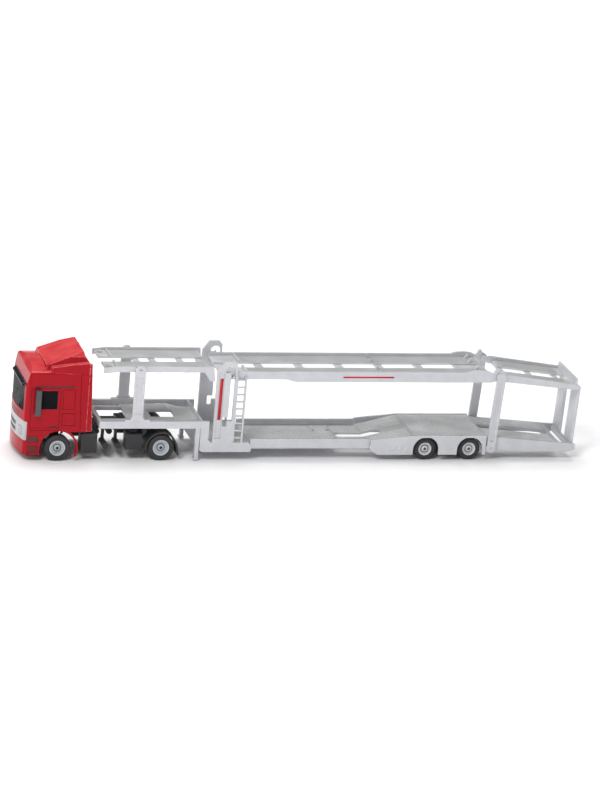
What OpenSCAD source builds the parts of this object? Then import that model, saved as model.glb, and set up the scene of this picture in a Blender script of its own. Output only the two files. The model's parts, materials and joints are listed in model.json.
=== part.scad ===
// Toy car transporter: a two-axle tractor hinged to a two-deck semitrailer.
// X runs from the front bumper to the tail, Y to the right-hand side, Z up from the floor.

/* [Overall] */
// Width over the cab, the towers and the rear skirts
body_width = 51; // [42:0.5:62]
// Height of the main upper deck's side rails
upper_deck_z = 66.5; // [56:0.5:80]

/* [Tractor] */
// Length of the cab from the bumper to its back wall
cab_length = 48; // [40:0.5:52]
// Height of the middle of the cab's roof
cab_roof_z = 69; // [62:0.5:80]
// Distance between the tractor's two axles
tractor_wheelbase = 75.2; // [70:0.2:95]
// Outer diameter of the tractor's tyres
tractor_tyre_d = 19.2; // [15:0.2:19.6]
// Distance from the front of the bumper to the front axle
front_overhang = 28.5; // [27:0.5:31]

/* [Trailer] */
// Distance from the deck's front pins to the hinge on the rear posts
deck_span = 200.3; // [160:0.5:250]
// Length of the rear upper deck from its hinge to its tail
rear_deck_length = 62; // [50:0.5:75]
// Length of the front upper deck
front_deck_length = 77; // [64:0.5:79]
// Height of the loading ramps when they stand up
ramp_length = 46; // [36:0.5:48]
// Outer diameter of the trailer's tyres
trailer_tyre_d = 16.5; // [13:0.1:16.8]
// Distance between the trailer's two axles
bogie_wheelbase = 33.5; // [30:0.5:40]
// Width of one wheel track on the decks
track_width = 15.6; // [12:0.1:16.4]

/* [Walls and fits] */
// Thickness of the towers, the posts and the frame's side plates
plate_t = 2.2; // [1.8:0.1:3]
// Thickness of the deck rails
rail_t = 1.5; // [1.2:0.1:2]
// Thickness of the cab's walls
cab_wall = 1.6; // [1.2:0.1:2.4]
// Thickness of the deck tracks and floors
floor_t = 1.4; // [1:0.1:2]
// Radius of the wheel shafts
shaft_r = 0.8; // [0.6:0.05:1.2]
// Radius of the hinge pins
pin_r = 1; // [0.8:0.05:1.2]
// Radial clearance of a pin or shaft in its hole
running_gap = 0.05; // [0.02:0.01:0.1]
// Side clearance between a deck and the plates that it moves between
side_gap = 0.4; // [0.2:0.05:0.8]

/* [Hidden] */
$fn = 48;
half_w = body_width / 2;
plate_in = half_w - plate_t;
deck_y = plate_in - side_gap;
rail_in = deck_y - rail_t;

// Stations along X, measured from the front of the bumper
front_axle_x = front_overhang;
drive_axle_x = front_axle_x + tractor_wheelbase;
kingpin_x = drive_axle_x - 12.2;
platform_x0 = kingpin_x - 34;
gooseneck_x = kingpin_x + 28;
leg_x = kingpin_x + 36.2;
wall_x = leg_x + 3.8;
tower_x = kingpin_x + 48.9;
deck_pin_x = tower_x + 12.1;
slot_x = deck_pin_x - 0.4;
ladder_x = tower_x + 14.6;
plinth_x1 = tower_x + 29;
post_top_x = deck_pin_x + deck_span;
post_foot_x = post_top_x - 3;
rear_bogie_x = post_foot_x - 15.9;
front_bogie_x = rear_bogie_x - bogie_wheelbase;
skirt_x0 = front_bogie_x - 42;
skirt_x1 = post_foot_x - 3.9;
ramp_pin_x = post_top_x + rear_deck_length - 2;
ramp_t = 2;
ramp_lean = 2;
lug_end = 2.9;
ramp_reach = (ramp_t - 0.6) * cos(ramp_lean) + ramp_length * sin(ramp_lean);
overall_length = ramp_pin_x + max(lug_end, ramp_reach);
post_front_x = kingpin_x - 6.8;
front_deck_x0 = post_front_x - 25.8;
front_deck_x1 = front_deck_x0 + front_deck_length;

// Levels above the floor
tractor_axle_z = tractor_tyre_d / 2;
trailer_axle_z = trailer_tyre_d / 2;
cab_bottom_z = 5.4;
cab_floor_z = 22.6;
frame_z0 = 18;
frame_z1 = 22.4;
coupler_z = 24.3;
platform_z0 = 24.6;
platform_z1 = 29.9;
low_z0 = 8.6;
low_z1 = 15.8;
plinth_z0 = 6.8;
plinth_z1 = 13.9;
bogie_z = 18.4;
skirt_z0 = 4.5;
hinge_z = upper_deck_z - 3.5;
post_foot_z = 9.5;
front_pin_z = upper_deck_z + 0.9;
ramp_pin_z = 9.2;
slot_w = 3.3;
deck_pin_r = 0.8;
deck_drop = 31;
rear_slope = 7;
shaft_hole_r = shaft_r + running_gap;
pin_hole_r = pin_r + running_gap;
post_lean = atan2(post_top_x - post_foot_x, hinge_z - post_foot_z);
post_length = norm([post_top_x - post_foot_x, hinge_z - post_foot_z]);

// Cab
cab_front_bulge = 4.5;
cab_corner_r = 4;
cab_front_r = (half_w * half_w + cab_front_bulge * cab_front_bulge) / (2 * cab_front_bulge);
cab_cavity_z = cab_floor_z + 1.4;
arch_r = 13;
fairing_depth = 4.2;
glass_inset = 0.4;
glass_t = 0.8;
fit_gap = 0.1;

// ---- helpers ----

// Moves a piece from its station behind the bumper to the frame's own origin
module placed() {
  translate([-overall_length / 2, 0, 0]) children();
}

// A box between low and high values on each axis
module block(x, y, z) {
  translate([x[0], y[0], z[0]]) cube([x[1] - x[0], y[1] - y[0], z[1] - z[0]]);
}

// A side outline of X and Z points, given a thickness from y0 to y1
module side_profile(points, y0, y1) {
  translate([0, y1, 0]) rotate([90, 0, 0]) linear_extrude(y1 - y0) polygon(points);
}

// A round bar across the vehicle
module cross_bar(x, z, r, y0, y1) {
  translate([x, y0, z]) rotate([-90, 0, 0]) cylinder(r = r, h = y1 - y0);
}

// The same shape on the left and on the right
module both_sides() {
  children();
  mirror([0, 1, 0]) children();
}

// ---- tractor ----

// The cab's outline from above: a bowed front with rounded corners
module cab_plan(inset) {
  w = half_w - inset;
  r = cab_corner_r;
  bow = [for (i = [-8:8]) let (y = i / 8 * (w - r)) [inset + cab_front_r - sqrt(cab_front_r ^ 2 - y ^ 2), y]];
  edge = bow[len(bow) - 1][0];
  right = [for (a = [15:15:90]) [edge + r - r * cos(a), w - r + r * sin(a)]];
  left = [for (a = [90:-15:15]) [edge + r - r * cos(a), -(w - r) - r * sin(a)]];
  polygon(concat(bow, right, [[cab_length - inset, w], [cab_length - inset, -w]], left));
}

// The cab's outer form, moved inwards by inset
module cab_solid(inset) {
  top = cab_roof_z - inset;
  w = half_w - inset;
  intersection() {
    translate([0, 0, cab_bottom_z]) linear_extrude(top - cab_bottom_z) cab_plan(inset);
    side_profile([
      [inset, cab_bottom_z], [inset, 35], [4 + inset, 57.6], [5.6 + inset, top - 4.2],
      [8.4 + inset, top - 0.9], [11.5, top], [cab_length, top], [cab_length, cab_bottom_z]
    ], -half_w, half_w);
    rotate([90, 0, 90]) linear_extrude(cab_length) polygon([
      [-w, cab_bottom_z], [w, cab_bottom_z], [w, top - 4.6], [w - 0.6, top - 3.2], [w - 2, top - 2.4],
      [12, top - 0.5], [0, top], [-12, top - 0.5], [-w + 2, top - 2.4], [-w + 0.6, top - 3.2], [-w, top - 4.6]
    ]);
  }
}

// A thin layer of the bowed front between two heights
module front_band(z, depth, w) {
  intersection() {
    difference() {
      translate([0, 0, z[0]]) linear_extrude(z[1] - z[0]) cab_plan(0);
      translate([depth, 0, z[0] - 1]) linear_extrude(z[1] - z[0] + 2) cab_plan(0);
    }
    block([-1, 12], [-w, w], z);
  }
}

module windscreen_hole(gap) {
  block([-1, 12], [-21 + gap, 21 - gap], [36.5 + gap, 57 - gap]);
}

module side_window_hole(gap) {
  block([13 + gap, 26.4 - gap], [half_w - 4, half_w + 1], [38.8 + gap, 52.6 - gap]);
}

module step_pockets(gap, depth) {
  for (z = [[6.8, 11.6], [13.9, 19]])
    block([6.4 + gap, 14 - gap], [half_w - depth, half_w + gap], [z[0] + gap, z[1] - gap]);
}

// A recess in the side wall, cut square to it
module side_recess(x, z, depth) {
  block(x, [half_w - depth, half_w + 1], z);
}

// A thin rectangular outline cut in the side wall
module side_outline(x, z) {
  g = groove_w;
  for (i = [0, 1]) {
    side_recess([x[i] - g / 2, x[i] + g / 2], [z[0] - g / 2, z[1] + g / 2], groove_depth);
    side_recess([x[0] - g / 2, x[1] + g / 2], [z[i] - g / 2, z[i] + g / 2], groove_depth);
  }
}

groove_w = 0.36;
groove_depth = 0.35;
door_x = [7.4, 28.2];
trim_depth = 0.5;
gutter_x = [9.6, 37.7];
gutter_z = [55.1, 56.1];
handle_x = [22, 27];
handle_z = [25.7, 26.8];

module panel_lines() {
  side_outline(door_x, [23.4, 54.2]);
  side_recess(door_x, [25, 25.3], groove_depth);
  side_outline([30.2, 39.4], [26.8, 36]);
  side_outline([30.2, 38.6], [39, 53.4]);
  side_profile([
    [43.6, cab_floor_z - 2], [43.9, cab_floor_z - 2], [42.1, cab_roof_z], [41.8, cab_roof_z]
  ], half_w - groove_depth, half_w + 1);
  side_recess(gutter_x, gutter_z, trim_depth);
  side_recess(handle_x, handle_z, trim_depth);
}

bumper_z = [15.5, 29.5];
bumper_depth = 1.2;
grille_z = [[30.2, 31.6], [32.8, 34.2]];
grille_depth = 0.8;
grille_w = 15;
slot_y = 9;
bumper_slot_z = [17.6, 20.4];
lamp_y = [14.5, 21];
lamp_z = [18, 24.5];

arch_lip = 1.5;

module cab_shell() {
  color("red") placed() {
    difference() {
      cab_body();
      step_cuts();
    }
    // The lip round the back of the wheel arch
    both_sides() difference() {
      cross_bar(front_axle_x, tractor_axle_z, arch_r + arch_lip, half_w - cab_wall, half_w);
      cross_bar(front_axle_x, tractor_axle_z, arch_r, half_w - 5, half_w + 1);
      block([0, front_axle_x + 4], [half_w - 5, half_w + 1], [-9, 40]);
      block([0, cab_length + 9], [half_w - 5, half_w + 1], [-9, 3.6]);
    }
  }
}

module step_cuts() {
  both_sides() step_pockets(0, 1);
}

// The cab's walls and roof, with its windows, its wheel arches and its recesses in front
module cab_body() {
  difference() {
    cab_solid(0);
    // Room for people, above the cab's floor
    intersection() {
      cab_solid(cab_wall);
      block([-1, cab_length + 1], [-half_w, half_w], [cab_cavity_z, cab_roof_z]);
    }
    // Space for the frame and the wheels, under the floor
    block([6.4, cab_length + 1], [-half_w + cab_wall, half_w - cab_wall], [0, cab_floor_z]);
    cross_bar(front_axle_x, tractor_axle_z, arch_r, -half_w - 1, half_w + 1);
    block([front_axle_x - arch_r, front_axle_x + arch_r], [-half_w - 1, half_w + 1], [0, tractor_axle_z]);
    windscreen_hole(0);
    both_sides() side_window_hole(0);
    block([front_axle_x + 4, cab_length + 1], [-half_w - 1, half_w + 1], [0, cab_floor_z - 0.6]);
    front_band(bumper_z, bumper_depth, half_w);
    for (z = grille_z) front_band(z, grille_depth, grille_w);
    both_sides() panel_lines();
  }
}

module side_fairings() {
  color("red") placed() both_sides() side_profile([
    [cab_length, frame_z1], [cab_length + fairing_depth, frame_z1],
    [cab_length + fairing_depth - 2.6, cab_roof_z + 3.4], [cab_length, cab_roof_z + 3.6]
  ], half_w - cab_wall, half_w);
}

module roof_deflector() {
  color("red") placed() difference() {
    union() {
      // The wedge that parts the air over the trailer
      intersection() {
        side_profile([
          [17, cab_roof_z - 3], [18, cab_roof_z + 1], [32, cab_roof_z + 6.2], [cab_length - 5, cab_roof_z + 10],
          [cab_length - 3.4, cab_roof_z + 10], [cab_length - 2.8, cab_roof_z + 7],
          [cab_length - 1.2, cab_roof_z + 4.6], [cab_length, cab_roof_z + 3.8], [cab_length, cab_roof_z - 3]
        ], -half_w, half_w);
        rotate([90, 0, 90]) linear_extrude(cab_length) polygon([
          [-21.5, cab_roof_z - 3], [21.5, cab_roof_z - 3], [20, cab_roof_z + 7], [17, cab_roof_z + 10],
          [-17, cab_roof_z + 10], [-20, cab_roof_z + 7]
        ]);
      }
      // The hood that carries it, as wide as the roof
      side_profile([
        [20, cab_roof_z - 3], [21.5, cab_roof_z + 0.6], [34, cab_roof_z + 2.4], [cab_length, cab_roof_z + 3.6],
        [cab_length, cab_roof_z - 5]
      ], -half_w + 0.2, half_w - 0.2);
    }
    cab_solid(0);
  }
}

module cab_glazing() {
  color("black") placed() {
    intersection() {
      difference() {
        cab_solid(glass_inset);
        cab_solid(glass_inset + glass_t);
      }
      windscreen_hole(fit_gap);
    }
    both_sides() intersection() {
      side_window_hole(fit_gap);
      block([0, cab_length], [half_w - glass_inset - glass_t, half_w - glass_inset], [30, 60]);
    }
  }
}

module lamps(gap) {
  both_sides() block([-1, 12], [lamp_y[0] + gap, lamp_y[1] - gap], [lamp_z[0] + gap, lamp_z[1] - gap]);
}

module bumper_band() {
  color("lightgray") placed() difference() {
    front_band([bumper_z[0] + fit_gap, bumper_z[1] - fit_gap], bumper_depth - fit_gap, half_w - 1);
    lamps(0);
    for (z = bumper_slots) block([-1, 12], [-slot_y, slot_y], z);
  }
}

bumper_slots = [bumper_slot_z, [bumper_slot_z[0] + 4.4, bumper_slot_z[1] + 4.4]];

// The dark inserts of the grille and of the bumper's air slots
module grille() {
  color("black") placed() {
    for (z = grille_z)
      front_band([z[0] + fit_gap, z[1] - fit_gap], grille_depth - fit_gap, grille_w - fit_gap);
    for (z = bumper_slots)
      front_band([z[0] + fit_gap, z[1] - fit_gap], bumper_depth - fit_gap, slot_y - fit_gap);
  }
}

module headlights() {
  color("whitesmoke") placed() intersection() {
    front_band(bumper_z, bumper_depth - fit_gap, half_w);
    lamps(fit_gap);
  }
}

mirror_x = [10, 14];
mirror_z = [35, 54];

module mirrors() {
  color("gray") placed() both_sides() {
    block(mirror_x, [half_w + 1.2, half_w + 4], mirror_z);
    for (z = [mirror_z[0] + 0.6, mirror_z[1] - 2.2])
      block([mirror_x[0] + 1.2, mirror_x[1] - 0.8], [half_w, half_w + 1.2], [z, z + 1.6]);
  }
}

// The dark rain gutter over the door and its handle
module cab_trim() {
  color("black") placed() both_sides() {
    for (bar = [[gutter_x, gutter_z], [handle_x, handle_z]])
      block([bar[0][0] + fit_gap, bar[0][1] - fit_gap], [half_w - trim_depth, half_w - fit_gap],
        [bar[1][0] + fit_gap, bar[1][1] - fit_gap]);
  }
}

module cab_steps() {
  color("black") placed() both_sides() intersection() {
    step_pockets(fit_gap, 1);
    block([0, 20], [0, half_w - 0.3], [0, 30]);
  }
}

seat_x = cab_length - 7;

module cab_interior() {
  color("dimgray") placed() {
    for (y = [-17, 5]) {
      block([seat_x - 11, seat_x], [y, y + 12], [cab_cavity_z, cab_cavity_z + 8]);
      block([seat_x - 2.5, seat_x + 1], [y, y + 12], [cab_cavity_z + 8, cab_cavity_z + 24]);
    }
    block([8, 13], [-19, 19], [cab_cavity_z, cab_cavity_z + 11]);
  }
}

spine_y = 6;
tank_x = [front_axle_x + arch_r + arch_lip + 2.5, front_axle_x + arch_r + arch_lip + 14];
battery_x = [kingpin_x - 13.4, kingpin_x - 2];
outrigger_y = 20;

module tractor_frame() {
  color("black") placed() difference() {
    union() {
      block([7, drive_axle_x + 18.9], [-spine_y, spine_y], [frame_z0, frame_z1]);
      for (x = [front_axle_x, drive_axle_x])
        block([x - 3.5, x + 3.5], [-9, 9], [tractor_axle_z - 3, frame_z1 - 2]);
      for (x = [tank_x, battery_x])
        block([x[0] + 3, x[1] - 3], [-outrigger_y, outrigger_y], [frame_z0 + 1.6, frame_z1 - 1]);
      block([drive_axle_x - 4, drive_axle_x + 4], [-12.5, 12.5], [frame_z1 - 2.5, frame_z1 - 1.1]);
    }
    for (x = [front_axle_x, drive_axle_x])
      cross_bar(x, tractor_axle_z, shaft_hole_r, -10, 10);
    translate([kingpin_x, 0, frame_z0 - 1]) cylinder(r = 3, h = 8);
  }
}

module side_tanks() {
  color("black") placed() both_sides()
    block(tank_x, [13, half_w - 1.6], [5.7, frame_z0 + 1.6]);
}

module air_tanks() {
  color("black") placed() both_sides() {
    for (x = [tank_x[1] + 6.3, tank_x[1] + 15.7]) {
      cross_bar(x, 10.7, 2.2, 9, half_w - 2.5);
      block([x - 1, x + 1], [spine_y + 3.5, spine_y + 6], [12, frame_z0 + 1.6]);
    }
    block([tank_x[1] + 4, battery_x[0] - 2.2], [spine_y, spine_y + 6], [frame_z0 + 1.6, frame_z1 - 1]);
  }
}

module battery_boxes() {
  color("black") placed() both_sides()
    block(battery_x, [13, half_w - 1.6], [8, frame_z0 + 1.6]);
}

fender_r = frame_z1 - 1.1 - tractor_axle_z;
fender_t = 1.1;
flap_x = drive_axle_x + fender_r - 1;

module drive_fenders() {
  color("black") placed() both_sides() {
    difference() {
      cross_bar(drive_axle_x, tractor_axle_z, fender_r, 12.5, half_w - 1);
      cross_bar(drive_axle_x, tractor_axle_z, fender_r - fender_t, 12, half_w);
      block([drive_axle_x - 20, drive_axle_x], [12, half_w], [-5, tractor_axle_z - 2.5]);
      block([drive_axle_x, drive_axle_x + 20], [12, half_w], [-5, tractor_axle_z + 2.5]);
    }
    side_profile([
      [flap_x, tractor_axle_z + 4], [flap_x + 1.1, tractor_axle_z + 3], [flap_x + 2.6, 4], [flap_x + 1.4, 4],
      [flap_x, tractor_axle_z + 2]
    ], 12.5, half_w - 1);
  }
}

module fifth_wheel() {
  color("dimgray") placed() difference() {
    union() {
      translate([kingpin_x, 0, frame_z1]) cylinder(r = 9, h = coupler_z - frame_z1);
      block([kingpin_x + 2, kingpin_x + 13], [-5, 5], [frame_z1, coupler_z - 0.6]);
    }
    translate([kingpin_x, 0, frame_z1 - 1]) cylinder(r = 2 + running_gap, h = 6);
  }
}

// ---- wheels ----

// A tyre whose middle is at y, with a rounded tread
module tyre(d, width, rim_r, y) {
  r = d / 2;
  w = width / 2;
  translate([0, y, 0]) rotate([90, 0, 0]) rotate_extrude() polygon([
    [rim_r, -w + 0.5], [rim_r + 0.6, -w], [r - 1, -w], [r - 0.3, -w + 0.35], [r, -w + 1],
    [r, w - 1], [r - 0.3, w - 0.35], [r - 1, w], [rim_r + 0.6, w], [rim_r, w - 0.5]
  ]);
}

// A dished rim that fits in its tyre and on its shaft, with its hub on the outer side
module rim(rim_r, width, y) {
  w = width / 2;
  r = rim_r - running_gap;
  translate([0, y, 0]) rotate([-90, 0, 0]) rotate_extrude() polygon([
    [shaft_r + 0.02, -w + 1], [r, -w + 1], [r, w - 0.4], [r - 0.7, w - 0.4], [r - 1.1, w - 1.8],
    [2.2, w - 1.8], [1.9, w - 0.6], [shaft_r + 0.02, w - 0.6]
  ]);
}

module axle_shaft(x, z, y1) {
  color("silver") placed() cross_bar(x, z, shaft_r, -y1, y1);
}

module axle_rims(x, z, rim_r, width, y) {
  color("lightgray") placed() translate([x, 0, z]) both_sides() rim(rim_r, width, y);
}

module axle_tyres(x, z, d, rim_r, width, y) {
  color("dimgray") placed() translate([x, 0, z]) both_sides() tyre(d, width, rim_r, y);
}

front_rim_r = 5.7;
drive_rim_r = 5.9;
bogie_rim_r = 4.9;
tyre_w = 6.4;
drive_tyre_w = 10.5;
front_wheel_y = half_w - 0.6 - tyre_w / 2;
drive_wheel_y = half_w - 1.2 - drive_tyre_w / 2;
bogie_wheel_y = half_w - 1.6 - tyre_w / 2;

module front_axle_shaft() {
  axle_shaft(front_axle_x, tractor_axle_z, front_wheel_y + tyre_w / 2 - 1);
}

module front_rims() {
  axle_rims(front_axle_x, tractor_axle_z, front_rim_r, tyre_w, front_wheel_y);
}

module front_tyres() {
  axle_tyres(front_axle_x, tractor_axle_z, tractor_tyre_d, front_rim_r, tyre_w, front_wheel_y);
}

module drive_axle_shaft() {
  axle_shaft(drive_axle_x, tractor_axle_z, drive_wheel_y + drive_tyre_w / 2 - 1);
}

module drive_rims() {
  axle_rims(drive_axle_x, tractor_axle_z, drive_rim_r, drive_tyre_w, drive_wheel_y);
}

module drive_tyres() {
  axle_tyres(drive_axle_x, tractor_axle_z, tractor_tyre_d, drive_rim_r, drive_tyre_w, drive_wheel_y);
}

module bogie_front_shaft() {
  axle_shaft(front_bogie_x, trailer_axle_z, bogie_wheel_y + tyre_w / 2 - 1);
}

module bogie_front_rims() {
  axle_rims(front_bogie_x, trailer_axle_z, bogie_rim_r, tyre_w, bogie_wheel_y);
}

module bogie_front_tyres() {
  axle_tyres(front_bogie_x, trailer_axle_z, trailer_tyre_d, bogie_rim_r, tyre_w, bogie_wheel_y);
}

module bogie_rear_shaft() {
  axle_shaft(rear_bogie_x, trailer_axle_z, bogie_wheel_y + tyre_w / 2 - 1);
}

module bogie_rear_rims() {
  axle_rims(rear_bogie_x, trailer_axle_z, bogie_rim_r, tyre_w, bogie_wheel_y);
}

module bogie_rear_tyres() {
  axle_tyres(rear_bogie_x, trailer_axle_z, trailer_tyre_d, bogie_rim_r, tyre_w, bogie_wheel_y);
}

// ---- semitrailer ----

platform_floor_z = platform_z0 + 1;
beam_in = plate_in - 0.6;

module front_platform() {
  color("silver") placed() difference() {
    union() {
      both_sides() block([platform_x0, gooseneck_x], [beam_in, half_w], [platform_z0, platform_z1]);
      both_sides() block([post_front_x - 9, post_front_x + 9], [beam_in - 1, half_w],
        [platform_z0, platform_z1 + 1.3]);
      block([platform_x0, platform_x0 + 3], [-beam_in, beam_in], [platform_z0 + 0.6, platform_z1 - 1]);
      for (y = [-16, 13])
        block([platform_x0 + 3, post_front_x - 4], [y, y + 3], [platform_z0 + 0.6, platform_z1 - 2]);
      translate([0, 0, platform_floor_z]) linear_extrude(2) polygon([
        [post_front_x - 4, -beam_in], [gooseneck_x - 4, -beam_in], [gooseneck_x + 5, -14], [wall_x, -14],
        [wall_x, 14], [gooseneck_x + 5, 14], [gooseneck_x - 4, beam_in], [post_front_x - 4, beam_in]
      ]);
    }
    block([kingpin_x + 7, kingpin_x + 25], [-8, 8], [platform_z0 - 1, platform_z1]);
  }
}

module kingpin() {
  color("silver") placed() translate([kingpin_x, 0, 0]) {
    translate([0, 0, 19]) cylinder(r = 2, h = platform_z0 - 19);
    translate([0, 0, platform_z0]) cylinder(r = 5, h = platform_floor_z - platform_z0);
  }
}

module gooseneck() {
  color("silver") placed() {
    both_sides() side_profile([
      [gooseneck_x, platform_z1], [gooseneck_x, platform_z0], [wall_x - 0.2, platform_z0],
      [wall_x, plinth_z0 + 2], [wall_x + 1.8, plinth_z0],
      [tower_x - 0.7, plinth_z0], [tower_x - 0.7, plinth_z1], [tower_x - 3, plinth_z1 + 2],
      [tower_x - 3, platform_z1]
    ], plate_in, half_w);
    block([wall_x, wall_x + 1.6], [-plate_in, plate_in], [plinth_z0, platform_z1]);
    block([wall_x + 1.6, tower_x - 0.7], [-plate_in, plate_in], [plinth_z0, plinth_z0 + 3]);
  }
}

leg_foot_z = 2.6;

module landing_legs() {
  color("silver") placed() both_sides() {
    side_profile([
      [leg_x, platform_z0], [leg_x + 0.5, leg_foot_z], [wall_x - 0.8, leg_foot_z], [wall_x - 0.3, platform_z0]
    ], plate_in - 1.6, half_w - 0.3);
    block([leg_x - 0.2, wall_x - 0.4], [plate_in - 2.4, half_w - 0.1], [1, leg_foot_z]);
  }
}

slot_z0 = hinge_z - deck_drop - 1.8;
hook_z = hinge_z + 4.4;
hook_shift = slot_w + 0.6;
tower_top_z = upper_deck_z + 8.1;

// A straight stretch of the tower's slot, moved along by shift
module slot_leg(shift, z) {
  block([slot_x + shift - slot_w / 2, slot_x + shift + slot_w / 2], [plate_in - 1, half_w + 1], z);
}

module towers() {
  color("silver") placed() both_sides() difference() {
    side_profile([
      [tower_x, plinth_z1], [tower_x, tower_top_z - 7], [tower_x + 5, tower_top_z],
      [tower_x + 12.4, tower_top_z], [ladder_x, tower_top_z - 2.4], [ladder_x, plinth_z1]
    ], plate_in, half_w);
    side_recess([tower_x + 1.6, slot_x - hook_shift - slot_w / 2 - 0.6],
      [plinth_z1 + 3, tower_top_z - 9], 0.5);
    // The straight slot, its upper hook round a tongue, and its lower hook
    slot_leg(0, [slot_z0, hook_z]);
    slot_leg(-hook_shift, [hook_z - 1.2, hook_z]);
    difference() {
      cross_bar(slot_x - hook_shift / 2, hook_z, (hook_shift + slot_w) / 2, plate_in - 1, half_w + 1);
      cross_bar(slot_x - hook_shift / 2, hook_z, (hook_shift - slot_w) / 2, plate_in - 2, half_w + 2);
      block([slot_x - 9, slot_x + 9], [plate_in - 2, half_w + 2], [hook_z - 9, hook_z]);
    }
    block([slot_x - hook_shift, slot_x], [plate_in - 1, half_w + 1], [slot_z0, slot_z0 + slot_w - 0.4]);
    slot_leg(-hook_shift, [slot_z0 - 4, slot_z0 + slot_w - 0.4]);
  }
}

ladder_pitch = 5.4;
ladder_top_z = upper_deck_z - 3;

module ladders() {
  color("silver") placed() both_sides() {
    for (x = [ladder_x, ladder_x + 6.4])
      block([x, x + 1.2], [plate_in, half_w - 0.3], [plinth_z1, ladder_top_z]);
    for (z = [plinth_z1 + 3:ladder_pitch:ladder_top_z - 0.8])
      block([ladder_x + 1.2, ladder_x + 6.4], [plate_in + 0.4, half_w - 0.7], [z, z + 1]);
  }
}

module plinth() {
  color("silver") placed() side_profile([
    [tower_x - 0.7, plinth_z0], [tower_x - 0.7, plinth_z1], [plinth_x1 - 2, plinth_z1],
    [plinth_x1, plinth_z1 - 3], [plinth_x1, plinth_z0 + 1], [plinth_x1 - 1, plinth_z0]
  ], -half_w, half_w);
}

low_floor_z = low_z0 + 1;
slope_x = front_bogie_x - 10;

module low_frame() {
  color("silver") placed() both_sides()
    block([plinth_x1, skirt_x0], [deck_y - rail_t, deck_y], [low_z0, low_z1]);
}

// Half the width of the long well in the floor
well_y = 4.5;

module low_floor() {
  color("silver") placed() difference() {
    block([plinth_x1, skirt_x0], [-rail_in, rail_in], [low_floor_z, low_floor_z + 1.6]);
    block([skirt_x0 - 16, skirt_x0 + 1], [-well_y, well_y], [low_z0, low_z1]);
    translate([skirt_x0 - 16, 0, low_z0]) cylinder(r = well_y, h = 5);
  }
}

skirt_t = 1.2;

module bogie_deck() {
  color("silver") placed() difference() {
    side_profile([
      [skirt_x0, low_floor_z], [slope_x, bogie_z - floor_t], [skirt_x1, bogie_z - floor_t], [skirt_x1, bogie_z],
      [slope_x, bogie_z], [skirt_x0, low_floor_z + 1.6]
    ], -(half_w - skirt_t), half_w - skirt_t);
    block([skirt_x0 - 1, skirt_x0 + 10], [-well_y, well_y], [low_z0, bogie_z]);
    translate([skirt_x0 + 10, 0, low_z0]) cylinder(r = well_y, h = bogie_z);
  }
}

module bogie_beam() {
  color("gray") placed() difference() {
    block([front_bogie_x - 6, rear_bogie_x + 6], [-11, 11], [trailer_axle_z - 3, bogie_z - floor_t]);
    for (x = [front_bogie_x, rear_bogie_x])
      cross_bar(x, trailer_axle_z, shaft_hole_r, -12, 12);
  }
}

bogie_arch_r = trailer_tyre_d / 2 + 1.4;

module side_skirts() {
  color("silver") placed() both_sides() difference() {
    side_profile([
      [skirt_x0, low_z0], [skirt_x0 + 6, skirt_z0], [skirt_x1, skirt_z0], [skirt_x1, bogie_z + 0.6],
      [slope_x, bogie_z + 0.6], [skirt_x0, low_z1]
    ], half_w - skirt_t, half_w);
    for (x = [skirt_x0 + 14:4.6:skirt_x0 + 24])
      side_recess([x, x + 3.4], [7.4, 11], 0.4);
    for (x = [front_bogie_x, rear_bogie_x])
      cross_bar(x, trailer_axle_z, bogie_arch_r, half_w - 3, half_w + 1);
    for (x = [front_bogie_x, rear_bogie_x])
      block([x - bogie_arch_r, x + bogie_arch_r], [half_w - 3, half_w + 1], [0, trailer_axle_z]);
  }
}

post_w = 7.6;

module front_posts() {
  color("silver") placed() both_sides() {
    block([post_front_x - post_w / 2 - 1, post_front_x + post_w / 2 + 1], [plate_in, half_w],
      [platform_z1 + 1.3, platform_z1 + 2.8]);
    difference() {
      side_profile([
        [post_front_x - post_w / 2, platform_z1 + 1.3], [post_front_x + post_w / 2, platform_z1 + 1.3],
        [post_front_x + post_w / 2, front_pin_z + 1], [post_front_x + 1.6, front_pin_z + 3.4],
        [post_front_x - 1.6, front_pin_z + 3.4], [post_front_x - post_w / 2, front_pin_z + 1]
      ], plate_in, half_w);
      side_recess([post_front_x - post_w / 2 + 1.2, post_front_x + post_w / 2 - 1.2],
        [platform_z1 + 5, front_pin_z - 5], 0.5);
    }
    cross_bar(post_front_x, front_pin_z, pin_r, rail_in, plate_in);
  }
}

// The lower tracks behind the wheels, falling towards the tail
module lower_rear_tracks() {
  color("silver") placed() {
    both_sides() side_profile([
      [skirt_x1, bogie_z - 1.4], [ramp_pin_x - 11, 10.4], [ramp_pin_x - 11, 12.8], [skirt_x1, bogie_z]
    ], 5, deck_y - rail_t);
  }
}

module rear_frame() {
  color("silver") placed() difference() {
    union() {
      both_sides() side_profile([
        [skirt_x1, 7.6], [ramp_pin_x - 4, 5.8], [ramp_pin_x, 6.3], [ramp_pin_x + lug_end, 7.4],
        [ramp_pin_x + lug_end, 11.4], [ramp_pin_x + 1, 12.2], [ramp_pin_x - 9, 12.8], [skirt_x1, bogie_z - 0.6]
      ], deck_y - rail_t, deck_y);
      block([ramp_pin_x - 11, ramp_pin_x - 8.8], [-rail_in, rail_in], [6.4, 12.4]);
      block([skirt_x1, skirt_x1 + 2], [-rail_in, rail_in], [8, 16]);
      both_sides() cross_bar(post_foot_x, post_foot_z, pin_r, deck_y - rail_t, half_w - 0.3);
    }
    cross_bar(ramp_pin_x, ramp_pin_z, pin_hole_r, -half_w, half_w);
  }
}

// ---- moving decks ----

// Two wheel tracks side by side with a gap between them
module track_pair(x0, x1, z) {
  both_sides() block([x0, x1], [rail_in - track_width, rail_in], [z, z + floor_t]);
}

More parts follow.
